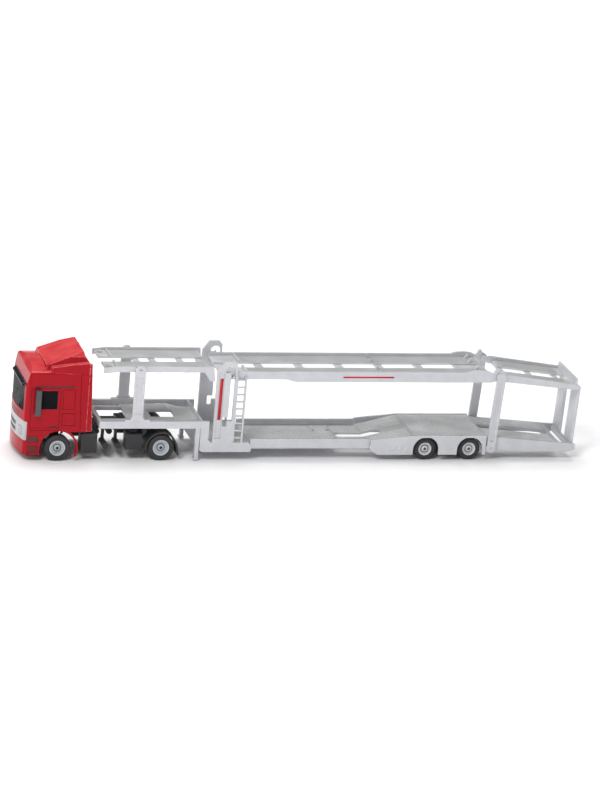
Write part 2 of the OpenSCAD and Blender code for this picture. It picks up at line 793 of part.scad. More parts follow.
module front_upper_deck() {
  z0 = upper_deck_z - 0.7;
  z1 = upper_deck_z + 3.4;
  color("silver") placed() difference() {
    union() {
      both_sides() side_profile([
        [front_deck_x0, z0 - 1], [front_deck_x0 + 10, z0], [front_deck_x1 - 4, z0], [front_deck_x1, z0 - 6.6],
        [front_deck_x1 + 3.6, z0 - 6.6], [front_deck_x1 + 2.4, z1], [front_deck_x0 + 10, z1],
        [front_deck_x0, z1 - 1.2]
      ], rail_in, deck_y);
      track_pair(front_deck_x0 + 1, front_deck_x1, z0 + 1);
      both_sides() block([front_deck_x0 + 9, front_deck_x0 + 10.2], [rail_in - track_width, rail_in],
        [z0 + 1, z0 + 3.8]);
      both_sides() block([front_deck_x0 + 2.4, front_deck_x0 + 5.4], [rail_in - 7, rail_in - 3],
        [z0 + 1, z0 + 3.6]);
      for (x = [front_deck_x0 + 26, front_deck_x0 + 38, front_deck_x0 + 58, front_deck_x1 - 4])
        block([x, x + 4], [-rail_in, rail_in], [z0 - 0.6, z0 + 1]);
    }
    cross_bar(post_front_x, front_pin_z, pin_hole_r, -half_w, half_w);
  }
}

deck_x0 = tower_x + 3.8;
deck_track_z = upper_deck_z - 3.6;
deck_stop_x = tower_x + 22;

module main_upper_deck() {
  rail_z0 = upper_deck_z - 7.6;
  step_x = tower_x + 51.5;
  color("silver") placed() difference() {
    union() {
      both_sides() side_profile([
        [deck_x0, rail_z0 + 1.9], [step_x, rail_z0 + 1.9], [step_x + 7.5, rail_z0], [post_top_x - 7, rail_z0],
        [post_top_x - 1, hinge_z - 2.3], [post_top_x, hinge_z - 2.3], [post_top_x, hinge_z + 2.3],
        each [for (a = [0:20:180]) [post_top_x - 16.5 + 8.5 * cos(a), upper_deck_z + 1.7 * sin(a)]],
        [deck_x0, upper_deck_z]
      ], rail_in, deck_y);
      both_sides() cross_bar(post_top_x, hinge_z, 2.3, rail_in, deck_y);
      both_sides() side_profile([
        [post_top_x - 5.6, hinge_z + 2], [post_top_x - 1, hinge_z + 2], [post_top_x - 1.2, upper_deck_z + 2],
        [post_top_x - 2.2, upper_deck_z + 3.4], [post_top_x - 3.6, upper_deck_z + 3.4],
        [post_top_x - 5.6, upper_deck_z - 0.4]
      ], rail_in, deck_y);
      both_sides() block([deck_stop_x, deck_stop_x + 1.4], [rail_in - track_width, rail_in],
        [deck_track_z + 1, upper_deck_z - 0.2]);
      track_pair(deck_x0, post_top_x - 7, deck_track_z);
      for (x = [deck_x0 + 1:30:post_top_x - 12])
        block([x, x + 5], [-rail_in, rail_in], [deck_track_z - 1.8, deck_track_z]);
      block([post_top_x - 26, post_top_x - 9], [-rail_in, rail_in], [deck_track_z - 1.8, deck_track_z]);
    }
    cross_bar(post_top_x, hinge_z, pin_hole_r, -half_w, half_w);
  }
}

module deck_pins() {
  color("gray") placed() both_sides()
    cross_bar(deck_pin_x, hinge_z, deck_pin_r, deck_y, half_w - 0.1);
}

// Two low bars across each wheel track of the lower deck, which stop a car's wheel
stop_x = skirt_x0 - 36;

module wheel_stops() {
  color("silver") placed() both_sides() for (x = [stop_x, stop_x + 11])
    side_profile([
      [x, low_floor_z + 1.6], [x + 3, low_floor_z + 1.6], [x + 2, low_floor_z + 3.6], [x + 1.2, low_floor_z + 3.6]
    ], 8, 16);
}

rear_post_w = 6.4;
rear_boss_r = 3.6;

module rear_posts() {
  color("silver") placed() both_sides() difference() {
    union() {
      translate([post_foot_x, 0, post_foot_z]) rotate([0, post_lean, 0])
        block([-rear_post_w / 2, rear_post_w / 2], [plate_in, half_w], [0, post_length]);
      cross_bar(post_foot_x, post_foot_z, rear_boss_r, plate_in, half_w);
      cross_bar(post_top_x, hinge_z, rear_boss_r, plate_in, half_w);
      cross_bar(post_top_x, hinge_z, pin_r, rail_in - 1.8, plate_in);
    }
    cross_bar(post_foot_x, post_foot_z, pin_hole_r, plate_in - 1, half_w + 1);
    translate([post_foot_x, 0, post_foot_z]) rotate([0, post_lean, 0])
      side_recess([-1.4, 1.4], [5, post_length - 5], 0.6);
  }
}

// Places a shape of the rear upper deck, drawn level from its hinge, at its rest slope
module from_rear_hinge() {
  placed() translate([post_top_x, 0, hinge_z]) rotate([0, rear_slope, 0]) children();
}

rear_tail = rear_deck_length - 1.4;
lug_in = rail_in - 1.7;
lug_out = rail_in - 0.2;
end_flap_x = rear_tail - 1.8;

module rear_upper_deck() {
  color("silver") from_rear_hinge() difference() {
    union() {
      both_sides() side_profile([
        [4, -3.1], [rear_tail, -2.2], [rear_tail + 1.2, -0.4], [rear_tail, 1.8], [4, 2.4]
      ], rail_in, deck_y);
      both_sides() side_profile([[0, -2.2], [9, -2.2], [9, 2.2], [0, 2.2]], lug_in, lug_out);
      both_sides() cross_bar(0, 0, 2.2, lug_in, lug_out);
      both_sides() block([6, end_flap_x], [rail_in - track_width, lug_in], [-1.4, 0]);
      both_sides() block([9, end_flap_x], [lug_in, rail_in], [-1.4, 0]);
      for (x = [6, 28, 49])
        block([x, x + 4], [-lug_in, lug_in], [-2.4, -1.4]);
    }
    cross_bar(0, 0, pin_hole_r, -half_w, half_w);
  }
}

module end_flap() {
  color("silver") from_rear_hinge()
    block([end_flap_x, end_flap_x + 1.2], [-rail_in, rail_in], [-2.4, 5.6]);
}

ramp_in = 6;
ramp_out = rail_in - 0.5;

// Places a shape of the loading ramps, drawn upright above their pin, at its rest lean
module from_ramp_pin() {
  placed() translate([ramp_pin_x, 0, ramp_pin_z]) rotate([0, ramp_lean, 0]) children();
}

module loading_ramps() {
  color("silver") from_ramp_pin() difference() {
    union() {
      both_sides() block([-0.6, ramp_t - 0.6], [ramp_in, ramp_out], [0, ramp_length]);
      cross_bar(0, 0, 2.3, -ramp_out, ramp_out);
    }
    cross_bar(0, 0, pin_hole_r, -half_w, half_w);
  }
}

module ramp_pin() {
  color("gray") placed() cross_bar(ramp_pin_x, ramp_pin_z, pin_r, -deck_y, deck_y);
}

// ---- nodes ----

cab_shell();
side_fairings();
roof_deflector();
cab_glazing();
bumper_band();
grille();
headlights();
mirrors();
cab_trim();
cab_steps();
cab_interior();
tractor_frame();
side_tanks();
air_tanks();
battery_boxes();
drive_fenders();
fifth_wheel();
front_axle_shaft();
front_rims();
front_tyres();
drive_axle_shaft();
drive_rims();
drive_tyres();
front_platform();
kingpin();
gooseneck();
landing_legs();
towers();
ladders();
plinth();
low_frame();
low_floor();
bogie_deck();
bogie_beam();
side_skirts();
front_posts();
lower_rear_tracks();
rear_frame();
wheel_stops();
bogie_front_shaft();
bogie_front_rims();
bogie_front_tyres();
bogie_rear_shaft();
bogie_rear_rims();
bogie_rear_tyres();
front_upper_deck();
main_upper_deck();
deck_pins();
rear_posts();
rear_upper_deck();
end_flap();
loading_ramps();
ramp_pin();
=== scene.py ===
"""A toy car transporter: a red tractor and a silver trailer with two decks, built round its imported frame."""
import json
import math

import bmesh
import bpy
from bpy.props import FloatProperty, FloatVectorProperty, IntProperty, PointerProperty
from mathutils import Matrix, Vector


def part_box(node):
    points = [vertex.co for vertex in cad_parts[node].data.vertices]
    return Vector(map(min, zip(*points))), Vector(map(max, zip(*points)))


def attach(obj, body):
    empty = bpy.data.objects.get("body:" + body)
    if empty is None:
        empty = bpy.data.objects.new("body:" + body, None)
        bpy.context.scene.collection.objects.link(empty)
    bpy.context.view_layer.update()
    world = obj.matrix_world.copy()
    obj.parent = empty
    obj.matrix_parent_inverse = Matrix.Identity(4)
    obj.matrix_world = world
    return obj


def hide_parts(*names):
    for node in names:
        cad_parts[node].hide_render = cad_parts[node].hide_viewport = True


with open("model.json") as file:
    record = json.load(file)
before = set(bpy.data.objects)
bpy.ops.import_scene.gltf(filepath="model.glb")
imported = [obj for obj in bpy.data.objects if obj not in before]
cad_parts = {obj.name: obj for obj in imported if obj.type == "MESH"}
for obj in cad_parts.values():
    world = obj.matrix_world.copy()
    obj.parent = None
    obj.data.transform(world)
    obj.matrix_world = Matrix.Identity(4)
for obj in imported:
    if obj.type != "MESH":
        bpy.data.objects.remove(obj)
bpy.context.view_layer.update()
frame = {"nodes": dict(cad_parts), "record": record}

bl_info = {
    "name": "Toy Car Transporter",
    "version": (1, 0, 0),
    "blender": (4, 5, 0),
    "location": "View3D > Sidebar > Transporter",
    "description": "Finishes a toy car transporter: mouldings, wheels, pierced decks, ramps and stage",
    "category": "Add Mesh",
}

MM = 0.001
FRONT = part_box("cab_shell")[0].x
BODY_OF = {node: body for body, nodes in frame["record"]["behaviour"]["bodies"].items() for node in nodes}


def at(x, y, z):
    """A place given in millimetres behind the front, beside the middle and above the ground."""
    return Vector((FRONT + x * MM, y * MM, z * MM))


# ---- the sizes and colours a user would change ----


def length(name, description, default):
    return FloatProperty(name=name, description=description, default=default * MM, min=0.0, unit="LENGTH", precision=5)


def colour(name, description, default):
    return FloatVectorProperty(name=name, description=description, default=default, min=0.0, max=1.0, size=3, subtype="COLOR")


class MouldingSettings(bpy.types.PropertyGroup):
    """How the moulded edges are rounded."""

    cab_round: length("Cab edge", "Width of the rounding on the cab's edges", 0.45)
    fine_round: length("Fine edge", "Width of the rounding on thin mouldings", 0.14)
    frame_round: length("Frame edge", "Width of the rounding on the trailer's edges", 0.22)
    steps: IntProperty(name="Steps", description="Faces across a rounded edge", default=2, min=1, max=4)


class DeckSettings(bpy.types.PropertyGroup):
    """The pierced and raised patterns on the decks."""

    hole_pitch: length("Hole pitch", "Distance between the holes of the upper decks", 1.95)
    hole_width: length("Hole width", "Width of a hole in the upper decks", 1.15)
    mesh_pitch: length("Front pitch", "Distance between the holes of the front deck", 1.5)
    mesh_width: length("Front hole", "Width of a hole in the front deck", 0.75)
    stud_pitch: length("Stud pitch", "Distance between the raised treads of floors and ramps", 1.9)
    stud_height: length("Stud height", "Height of a raised tread", 0.22)


class WheelSettings(bpy.types.PropertyGroup):
    """The tyres' tread and the rims' nuts."""

    tread_blocks: IntProperty(name="Tread blocks", description="Blocks round one row of a tyre", default=44, min=12, max=80)
    tread_depth: length("Tread depth", "Depth of the grooves between the blocks", 0.4)
    nuts: IntProperty(name="Nuts", description="Wheel nuts on each rim", default=10, min=4, max=12)


class ColourSettings(bpy.types.PropertyGroup):
    """The colours of the mouldings."""

    cab_red: colour("Cab red", "Enamel of the cab", (0.38, 0.002, 0.010))
    silver: colour("Silver", "Satin paint of the trailer", (0.60, 0.605, 0.635))
    # Painted highlight: the lighter silver laid on the trailer's rounded edges.
    silver_highlight: colour("Silver edge highlight", "Painted highlight on the trailer's rounded edges", (0.92, 0.92, 0.94))
    bumper_grey: colour("Bumper grey", "Bumper and mirrors", (0.45, 0.45, 0.47))
    chassis_black: colour("Chassis black", "The tractor's chassis", (0.020, 0.020, 0.022))
    rubber: colour("Rubber", "The tyres", (0.030, 0.030, 0.033))
    glazing: colour("Glazing", "The dark windows", (0.010, 0.010, 0.013))


def settings(context):
    return context.scene.transporter_moulding, context.scene.transporter_decks, context.scene.transporter_wheels, context.scene.transporter_colours


# ---- node building ----


def add(tree, kind, choices=None, **sockets):
    """A node with its choices and sockets set; a socket's spaces are written as underscores, and i0 is the first."""
    made = tree.nodes.new(kind)
    for key, value in (choices or {}).items():
        setattr(made, key, value)
    for key, value in sockets.items():
        plain = key[0] == "i" and key[1:].isdigit()
        socket = made.inputs[int(key[1:])] if plain else made.inputs[key.replace("_", " ")]
        if isinstance(value, bpy.types.NodeSocket):
            tree.links.new(value, socket)
        else:
            socket.default_value = value
    return made


def sums(tree, operation, *values):
    """A Math node's result."""
    return add(tree, "ShaderNodeMath", {"operation": operation}, **{f"i{i}": v for i, v in enumerate(values)}).outputs[0]


def vector(tree, x=0.0, y=0.0, z=0.0):
    return add(tree, "ShaderNodeCombineXYZ", X=x, Y=y, Z=z).outputs[0]


def new_group(name, kind, inputs, outputs):
    """A node group with named inputs and outputs, and its two ends."""
    group = bpy.data.node_groups.new(name, kind)
    for socket, form, value in inputs:
        made = group.interface.new_socket(socket, in_out="INPUT", socket_type=form)
        if value is not None:
            made.default_value = value
    for socket, form in outputs:
        group.interface.new_socket(socket, in_out="OUTPUT", socket_type=form)
    return group, group.nodes.new("NodeGroupInput").outputs, group.nodes.new("NodeGroupOutput")


# ---- surface effects shared by the materials ----

FLOAT, TINT, GEOMETRY, STUFF, NUMBER = (
    "NodeSocketFloat", "NodeSocketColor", "NodeSocketGeometry", "NodeSocketMaterial", "NodeSocketInt",
)


def moulding_grain():
    """The fine orange-peel of a painted moulding: a height and a soft mottle."""
    group, given, out = new_group(
        "Moulding Grain", "ShaderNodeTree",
        [("Grain Scale", FLOAT, 2200.0), ("Mottle Scale", FLOAT, 90.0)],
        [("Height", FLOAT), ("Mottle", FLOAT)],
    )
    place = add(group, "ShaderNodeTexCoord").outputs["Object"]
    fine = add(group, "ShaderNodeTexNoise", Vector=place, Scale=given["Grain Scale"], Detail=3.0)
    broad = add(group, "ShaderNodeTexNoise", Vector=place, Scale=given["Mottle Scale"], Detail=4.0, Roughness=0.6)
    group.links.new(fine.outputs[0], out.inputs["Height"])
    group.links.new(broad.outputs[0], out.inputs["Mottle"])
    return group


def edge_highlight():
    """A painted highlight on the rounded edges, broken up by noise; a darker edge colour makes the same mask a dark
    rim.
    """
    group, given, out = new_group(
        "Edge Highlight", "ShaderNodeTree",
        [("Amount", FLOAT, 0.5), ("Break Up", FLOAT, 420.0)],
        [("Mask", FLOAT)],
    )
    edge = add(group, "ShaderNodeAttribute", {"attribute_name": "edge"}).outputs["Fac"]
    place = add(group, "ShaderNodeTexCoord").outputs["Object"]
    noise = add(group, "ShaderNodeTexNoise", Vector=place, Scale=given["Break Up"], Detail=2.0).outputs[0]
    broken = add(group, "ShaderNodeMapRange", Value=noise, From_Min=0.3, From_Max=0.62).outputs[0]
    mask = sums(group, "MULTIPLY", sums(group, "MULTIPLY", edge, broken), given["Amount"])
    group.links.new(mask, out.inputs["Mask"])
    return group


def dust_and_top_shading_effect():
    """A patchy tint on faces that look up: dust on most finishes, painted light on the red's tops and painted shade on
    the silver's tops.
    """
    group, given, out = new_group(
        "Dust and Top Shading", "ShaderNodeTree",
        [("Amount", FLOAT, 0.2), ("Patch Scale", FLOAT, 60.0)],
        [("Mask", FLOAT)],
    )
    normal = add(group, "ShaderNodeSeparateXYZ", Vector=add(group, "ShaderNodeTexCoord").outputs["Normal"]).outputs["Z"]
    up = add(group, "ShaderNodeMapRange", Value=normal, From_Min=0.25, From_Max=0.95).outputs[0]
    place = add(group, "ShaderNodeTexCoord").outputs["Object"]
    patch = add(group, "ShaderNodeTexNoise", Vector=place, Scale=given["Patch Scale"], Detail=6.0).outputs[0]
    patch = add(group, "ShaderNodeMapRange", Value=patch, From_Min=0.1, From_Max=0.6).outputs[0]
    mask = sums(group, "MULTIPLY", sums(group, "MULTIPLY", up, patch), given["Amount"])
    group.links.new(mask, out.inputs["Mask"])
    return group


def groove_shade():
    """Painted shade where a groove or an inner corner is closed in, found by ambient occlusion."""
    group, given, out = new_group(
        "Groove Shade", "ShaderNodeTree",
        [("Amount", FLOAT, 0.6), ("Reach", FLOAT, 0.0012)],
        [("Mask", FLOAT)],
    )
    open_sky = add(group, "ShaderNodeAmbientOcclusion", {"samples": 6, "only_local": True}, Distance=given["Reach"]).outputs["AO"]
    closed = add(group, "ShaderNodeMapRange", Value=open_sky, From_Min=0.35, From_Max=0.85, To_Min=1.0, To_Max=0.0).outputs[0]
    group.links.new(sums(group, "MULTIPLY", closed, given["Amount"]), out.inputs["Mask"])
    return group


EFFECTS = {}


def effect(tree, name, **values):
    """A shared effect placed in a material with its own values."""
    makers = {"grain": moulding_grain, "edges": edge_highlight, "dust_and_top_shading": dust_and_top_shading_effect, "grooves": groove_shade}
    if name not in EFFECTS:
        EFFECTS[name] = makers[name]()
    return add(tree, "ShaderNodeGroup", {"node_tree": EFFECTS[name]}, **values).outputs


def tinted(tree, mask, below, above):
    """One colour laid over another by a mask."""
    mix = add(tree, "ShaderNodeMix", {"data_type": "RGBA"})
    for socket, value in ((mix.inputs[0], mask), (mix.inputs[6], below), (mix.inputs[7], above)):
        if isinstance(value, bpy.types.NodeSocket):
            tree.links.new(value, socket)
        elif isinstance(value, float):
            socket.default_value = value
        else:
            socket.default_value = (*value, 1.0)
    return mix.outputs[2]


def shade(value, factor):
    return tuple(min(1.0, c * factor) for c in value)


def finish_material(
    name, base, rough, mottle=0.12, grooves=0.0, edge=None, edge_amount=0.0, dust_and_top_shading=0.0, dust_and_top_shading_tint=(0.7, 0.7, 0.7), rough_spread=0.08,
    grain=2200.0, bump=0.02, patches=90.0, **constants,
):
    """A moulded surface: mottled colour, painted shade in grooves, a painted highlight on rounded edges, dust and
    painted top shading, uneven gloss and a fine grain.
    """
    if name in bpy.data.materials:
        return bpy.data.materials[name]
    stuff = bpy.data.materials.new(name)
    stuff.use_nodes = True
    tree = stuff.node_tree
    shader = tree.nodes["Principled BSDF"]
    grain_out = effect(tree, "grain", Grain_Scale=grain, Mottle_Scale=patches)
    tone = add(tree, "ShaderNodeMapRange", Value=grain_out["Mottle"], From_Min=0.3, From_Max=0.7).outputs[0]
    tint = tinted(tree, tone, shade(base, 1.0 - mottle), shade(base, 1.0 + mottle))
    # Painted shade: grooves and inner corners darkened towards 0.12 of the base colour.
    if grooves:
        tint = tinted(tree, effect(tree, "grooves", Amount=grooves)["Mask"], tint, shade(base, 0.12))
    # Painted highlight on rounded edges; a darker edge colour makes a dark rim.
    if edge is not None:
        tint = tinted(tree, effect(tree, "edges", Amount=edge_amount)["Mask"], tint, edge)
    # Dust on upward faces on most finishes; on the red it paints lighter tops as light, and on the silver darker tops
    # as shade.
    if dust_and_top_shading:
        tint = tinted(tree, effect(tree, "dust_and_top_shading", Amount=dust_and_top_shading)["Mask"], tint, dust_and_top_shading_tint)
    tree.links.new(tint, shader.inputs["Base Color"])
    gloss = add(
        tree, "ShaderNodeMapRange", Value=grain_out["Mottle"], From_Min=0.3, From_Max=0.7,
        To_Min=max(0.02, rough - rough_spread), To_Max=rough + rough_spread,
    ).outputs[0]
    tree.links.new(gloss, shader.inputs["Roughness"])
    relief = add(tree, "ShaderNodeBump", Strength=bump, Distance=0.0002, Height=grain_out["Height"])
    tree.links.new(relief.outputs[0], shader.inputs["Normal"])
    for key, value in constants.items():
        shader.inputs[key.replace("_", " ")].default_value = value
    stuff.diffuse_color = (*base, 1.0)
    return stuff


def finish(slot):
    """The material of a finish named in the record."""
    # Lighter edge colours below paint a highlight on rounded edges; grooves paints shade in recesses.
    c = bpy.context.scene.transporter_colours
    # Painted light and shade: a pale highlight on rounded edges, lighter tops, and shade in the grooves.
    if slot == "red_paint":
        return finish_material(
            "Red Enamel", c.cab_red, 0.24, mottle=0.05, edge=(0.95, 0.62, 0.62), edge_amount=0.7, dust_and_top_shading=0.5,
            dust_and_top_shading_tint=(0.80, 0.12, 0.12), bump=0.008, grain=700.0, rough_spread=0.03, grooves=0.95, Coat_Weight=0.1,
            Coat_Roughness=0.05, Specular_IOR_Level=0.12,
        )
    # Painted light and shade: a highlight on rounded edges, darker tops, and shade in the grooves.
    if slot == "silver_plastic":
        return finish_material(
            "Satin Silver", c.silver, 0.42, mottle=0.07, edge=c.silver_highlight, edge_amount=0.95, dust_and_top_shading=0.8, bump=0.05,
            dust_and_top_shading_tint=(0.40, 0.425, 0.395), grain=3200.0, Metallic=0.2, grooves=0.55, Specular_IOR_Level=0.45,
        )
    # Painted highlight: the raised treads are a lighter silver than the floor they stand on.
    if slot == "stud_silver":
        return finish_material("Highlit Treads", (0.80, 0.81, 0.82), 0.35, mottle=0.15, bump=0.04, grain=3200.0, Metallic=0.3)
    if slot == "grey_plastic":
        return finish_material(
            "Grey Moulding", c.bumper_grey, 0.38, mottle=0.05, edge=shade(c.bumper_grey, 1.5), edge_amount=0.4, dust_and_top_shading=0.05,
            bump=0.03,
        )
    if slot == "mirror_grey":
        return finish_material(
            "Mirror Grey", (0.045, 0.047, 0.052), 0.3, mottle=0.2, edge=(0.015, 0.015, 0.016), edge_amount=1.0, bump=0.03,
            Coat_Weight=0.3, Coat_Roughness=0.1,
        )
    if slot == "deep_red":
        return finish_material(
            "Shaded Red", (0.11, 0.004, 0.006), 0.4, mottle=0.15, edge=(0.32, 0.02, 0.03), edge_amount=0.7, bump=0.03,
        )
    if slot == "stripe_red":
        return finish_material("Stripe Red", (0.55, 0.01, 0.02), 0.4, mottle=0.06, edge=(0.7, 0.2, 0.2), edge_amount=0.3, bump=0.03)
    if slot == "black_plastic":
        return finish_material(
            "Chassis Black", c.chassis_black, 0.46, mottle=0.25, edge=(0.10, 0.10, 0.105), edge_amount=0.6, dust_and_top_shading=0.06,
            dust_and_top_shading_tint=(0.25, 0.25, 0.25), bump=0.06, grain=2600.0,
        )
    if slot == "interior_plastic":
        return finish_material(
            "Interior Grey", (0.07, 0.07, 0.075), 0.6, mottle=0.15, edge=(0.16, 0.16, 0.16), edge_amount=0.4, bump=0.08,
        )
    if slot == "dark_glass":
        return finish_material(
            "Dark Glazing", c.glazing, 0.07, mottle=0.1, rough_spread=0.02, bump=0.004, grain=600.0, dust_and_top_shading=0.02,
            edge=(0.25, 0.25, 0.27), edge_amount=0.6, IOR=1.25, Specular_IOR_Level=0.04,
        )
    if slot == "clear_lamp":
        return finish_material(
            "Clear Lamp", (0.34, 0.35, 0.38), 0.12, mottle=0.12, edge=(0.16, 0.16, 0.17), edge_amount=0.9, bump=0.02,
            rough_spread=0.04, Coat_Weight=0.3, Coat_Roughness=0.03,
        )
    if slot == "steel_pin":
        return finish_material(
            "Bright Pin", (0.58, 0.58, 0.60), 0.28, mottle=0.08, edge=(0.8, 0.8, 0.82), edge_amount=0.4, bump=0.03,
            rough_spread=0.08, Metallic=0.9,
        )
    if slot == "rim_plastic":
        return finish_material(
            "Rim Silver", (0.50, 0.54, 0.58), 0.32, mottle=0.06, edge=(0.92, 0.92, 0.94), edge_amount=0.7, dust_and_top_shading=0.05,
            bump=0.03, grooves=0.5, Metallic=0.2,
        )
    if slot == "bright_rim":
        return finish_material(
            "Bright Rim", (0.72, 0.72, 0.74), 0.28, mottle=0.05, edge=(0.95, 0.95, 0.96), edge_amount=0.7, dust_and_top_shading=0.04,
            bump=0.03, grooves=0.5, Metallic=0.2,
        )
    if slot == "tyre":
        return finish_material(
            "Tyre Rubber", c.rubber, 0.62, mottle=0.25, edge=(0.09, 0.09, 0.095), edge_amount=0.5, dust_and_top_shading=0.12,
            dust_and_top_shading_tint=(0.22, 0.22, 0.22), bump=0.10, grain=3000.0, rough_spread=0.1,
        )
    raise KeyError(slot)


# ---- making pieces ----


def show(name, mesh, slot, body, replaced=(), look=None):
    """A finished piece at the origin, riding on its body; look names a finish other than its slot's."""
    piece = bpy.data.objects.new(name, mesh)
    bpy.context.scene.collection.objects.link(piece)
    mesh.name = name
    mesh.materials.clear()
    mesh.materials.append(finish(look or slot))
    for face in mesh.polygons:
        face.material_index = 0
    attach(piece, body)
    if replaced:
        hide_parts(*replaced)
    return piece


def baked(mesh, *stages):
    """The mesh after a stack of modifiers, each given as its kind and its values."""
    work = bpy.data.objects.new("work", mesh)
    bpy.context.scene.collection.objects.link(work)
    for kind, values in stages:
        modifier = work.modifiers.new(kind.title(), kind)
        for key, value in values.items():
            setattr(modifier, key, value)
    evaluated = work.evaluated_get(bpy.context.evaluated_depsgraph_get())
    made = bpy.data.meshes.new_from_object(evaluated)
    work.modifiers.clear()
    bpy.data.objects.remove(work)
    return made


def merged(mesh, dissolve=True):
    """A copy with its triangles joined into whole faces."""
    bm = bmesh.new()
    bm.from_mesh(mesh)
    bmesh.ops.remove_doubles(bm, verts=bm.verts, dist=0.002 * MM)
    if dissolve:
        bmesh.ops.dissolve_limit(bm, angle_limit=math.radians(0.6), verts=bm.verts, edges=bm.edges)
    for face in bm.faces:
        face.smooth = True
        face.material_index = 0
    made = bpy.data.meshes.new("merged")
    bm.to_mesh(made)
    bm.free()
    made.materials.append(None)
    made.materials.append(None)
    return made


SHARP = math.radians(28)


def weigh_edges(mesh, width):
    """Marks how much of the rounding each sharp edge has room for beside its faces."""
    bm = bmesh.new()
    bm.from_mesh(mesh)
    layer = bm.edges.layers.float.new("bevel_weight_edge")
    across = {face: 2 * face.calc_area() / max(face.calc_perimeter(), 1e-9) for face in bm.faces}
    for edge in bm.edges:
        if len(edge.link_faces) == 2 and edge.calc_face_angle(0.0) > SHARP:
            room = min(0.36 * min(across[face] for face in edge.link_faces), 0.42 * edge.calc_length())
            edge[layer] = min(1.0, room / width)
    bm.to_mesh(mesh)
    bm.free()


def folded_area(mesh):
    """How much of the mesh's area faces against its own face, where a rounding had no room."""
    mesh.calc_loop_triangles()
    area = 0.0
    for triangle in mesh.loop_triangles:
        a, b, c = (mesh.vertices[i].co for i in triangle.vertices)
        normal = (b - a).cross(c - a)
        if normal.dot(mesh.polygons[triangle.polygon_index].normal) < 0.0:
            area += normal.length / 2
    return area


def rounded(mesh, width, steps=2):
    """The widest rounding that folds no face over, down to a clamped one, with its faces marked as edges."""
    spare = 0.01 * MM * MM
    for share, clamped in ((1.0, False), (0.6, False), (0.35, False), (0.2, False), (1.0, True)):
        made = bevelled(mesh, width * share, steps, clamped)
        if folded_area(made) < spare:
            return made
    return bevelled(mesh, 0.001 * MM, 1, True)


def bevelled(mesh, width, steps, clamped):
    """Rounded edges, and an attribute that marks them for the painted edge highlight."""
    mesh = mesh.copy()
    weigh_edges(mesh, width)
    made = baked(
        mesh,
        ("BEVEL", {
            "width": width, "segments": steps, "limit_method": "WEIGHT", "material": 1, "use_clamp_overlap": clamped,
        }),
        ("WEIGHTED_NORMAL", {"keep_sharp": True, "weight": 80}),
    )
    marks = [float(face.material_index == 1) for face in made.polygons]
    made.attributes.new("edge", "FLOAT", "FACE").data.foreach_set("value", marks)
    return made


def box_mesh(boxes):
    """Plain boxes, as low and high corners in millimetres, used to cut openings."""
    bm = bmesh.new()
    for low, high in boxes:
        low, high = at(*low), at(*high)
        size = high - low
        place = Matrix.Translation((low + high) / 2) @ Matrix.Diagonal((*size, 1.0))
        bmesh.ops.create_cube(bm, size=1.0, matrix=place)
    made = bpy.data.meshes.new("cutter")
    bm.to_mesh(made)
    bm.free()
    return made


def cut(mesh, cutter_mesh, dissolve=True):
    """The mesh with the cutter taken away."""
    cutter = bpy.data.objects.new("cutter", cutter_mesh)
    bpy.context.scene.collection.objects.link(cutter)
    made = baked(mesh, ("BOOLEAN", {"operation": "DIFFERENCE", "solver": "EXACT", "object": cutter, "use_self": True}))
    bpy.data.objects.remove(cutter)
    return merged(made, dissolve)


def moulded(node, slot, width, steps, openings=None, look=None):
    """A frame node's own shape with rounded edges, and openings cut where a finer piece goes."""
    mesh = merged(frame["nodes"][node].data)
    if openings is not None:
        mesh = cut(mesh, openings)
    if folded_area(mesh) > 0.01 * MM * MM:
        mesh = merged(frame["nodes"][node].data, dissolve=False)
        mesh = mesh if openings is None else cut(mesh, openings, dissolve=False)
    return show(f"{node}_moulded", rounded(mesh, width, steps), slot, BODY_OF[node], [node], look)


def plate(low, high, width=0.0):
    """A thin plate between two corners in millimetres, with rounded edges where a width is given."""
    mesh = merged(box_mesh([(low, high)]))
    return rounded(mesh, width * MM) if width else mesh


def prism(points, y0, y1):
    """A side outline of X and Z in millimetres, given a thickness from y0 to y1."""
    bm = bmesh.new()
    near = [bm.verts.new(at(x, y0, z)) for x, z in points]
    far = [bm.verts.new(at(x, y1, z)) for x, z in points]
    bm.faces.new(near)
    bm.faces.new(reversed(far))
    for i in range(len(points)):
        j = (i + 1) % len(points)
        bm.faces.new((near[j], near[i], far[i], far[j]))
    bmesh.ops.recalc_face_normals(bm, faces=bm.faces)
    made = bpy.data.meshes.new("prism")
    bm.to_mesh(made)
    bm.free()
    return merged(made)


def lathed(rings, y_sign, centre, segments=72):
    """A closed outline of radius and distance from the wheel's middle, turned about its axle."""
    bm = bmesh.new()
    count = len(rings)
    turns = []
    for step in range(segments):
        angle = 2 * math.pi * step / segments
        turns.append([
            bm.verts.new((centre.x + r * MM * math.cos(angle), centre.y + y_sign * y * MM, centre.z + r * MM * math.sin(angle)))
            for r, y in rings
        ])
    for step in range(segments):
        here, there = turns[step], turns[(step + 1) % segments]
        for i in range(count):
            j = (i + 1) % count
            bm.faces.new((here[i], here[j], there[j], there[i]))
    bmesh.ops.recalc_face_normals(bm, faces=bm.faces)
    for face in bm.faces:
        face.smooth = True
    made = bpy.data.meshes.new("lathed")
    bm.to_mesh(made)
    bm.free()
    return made


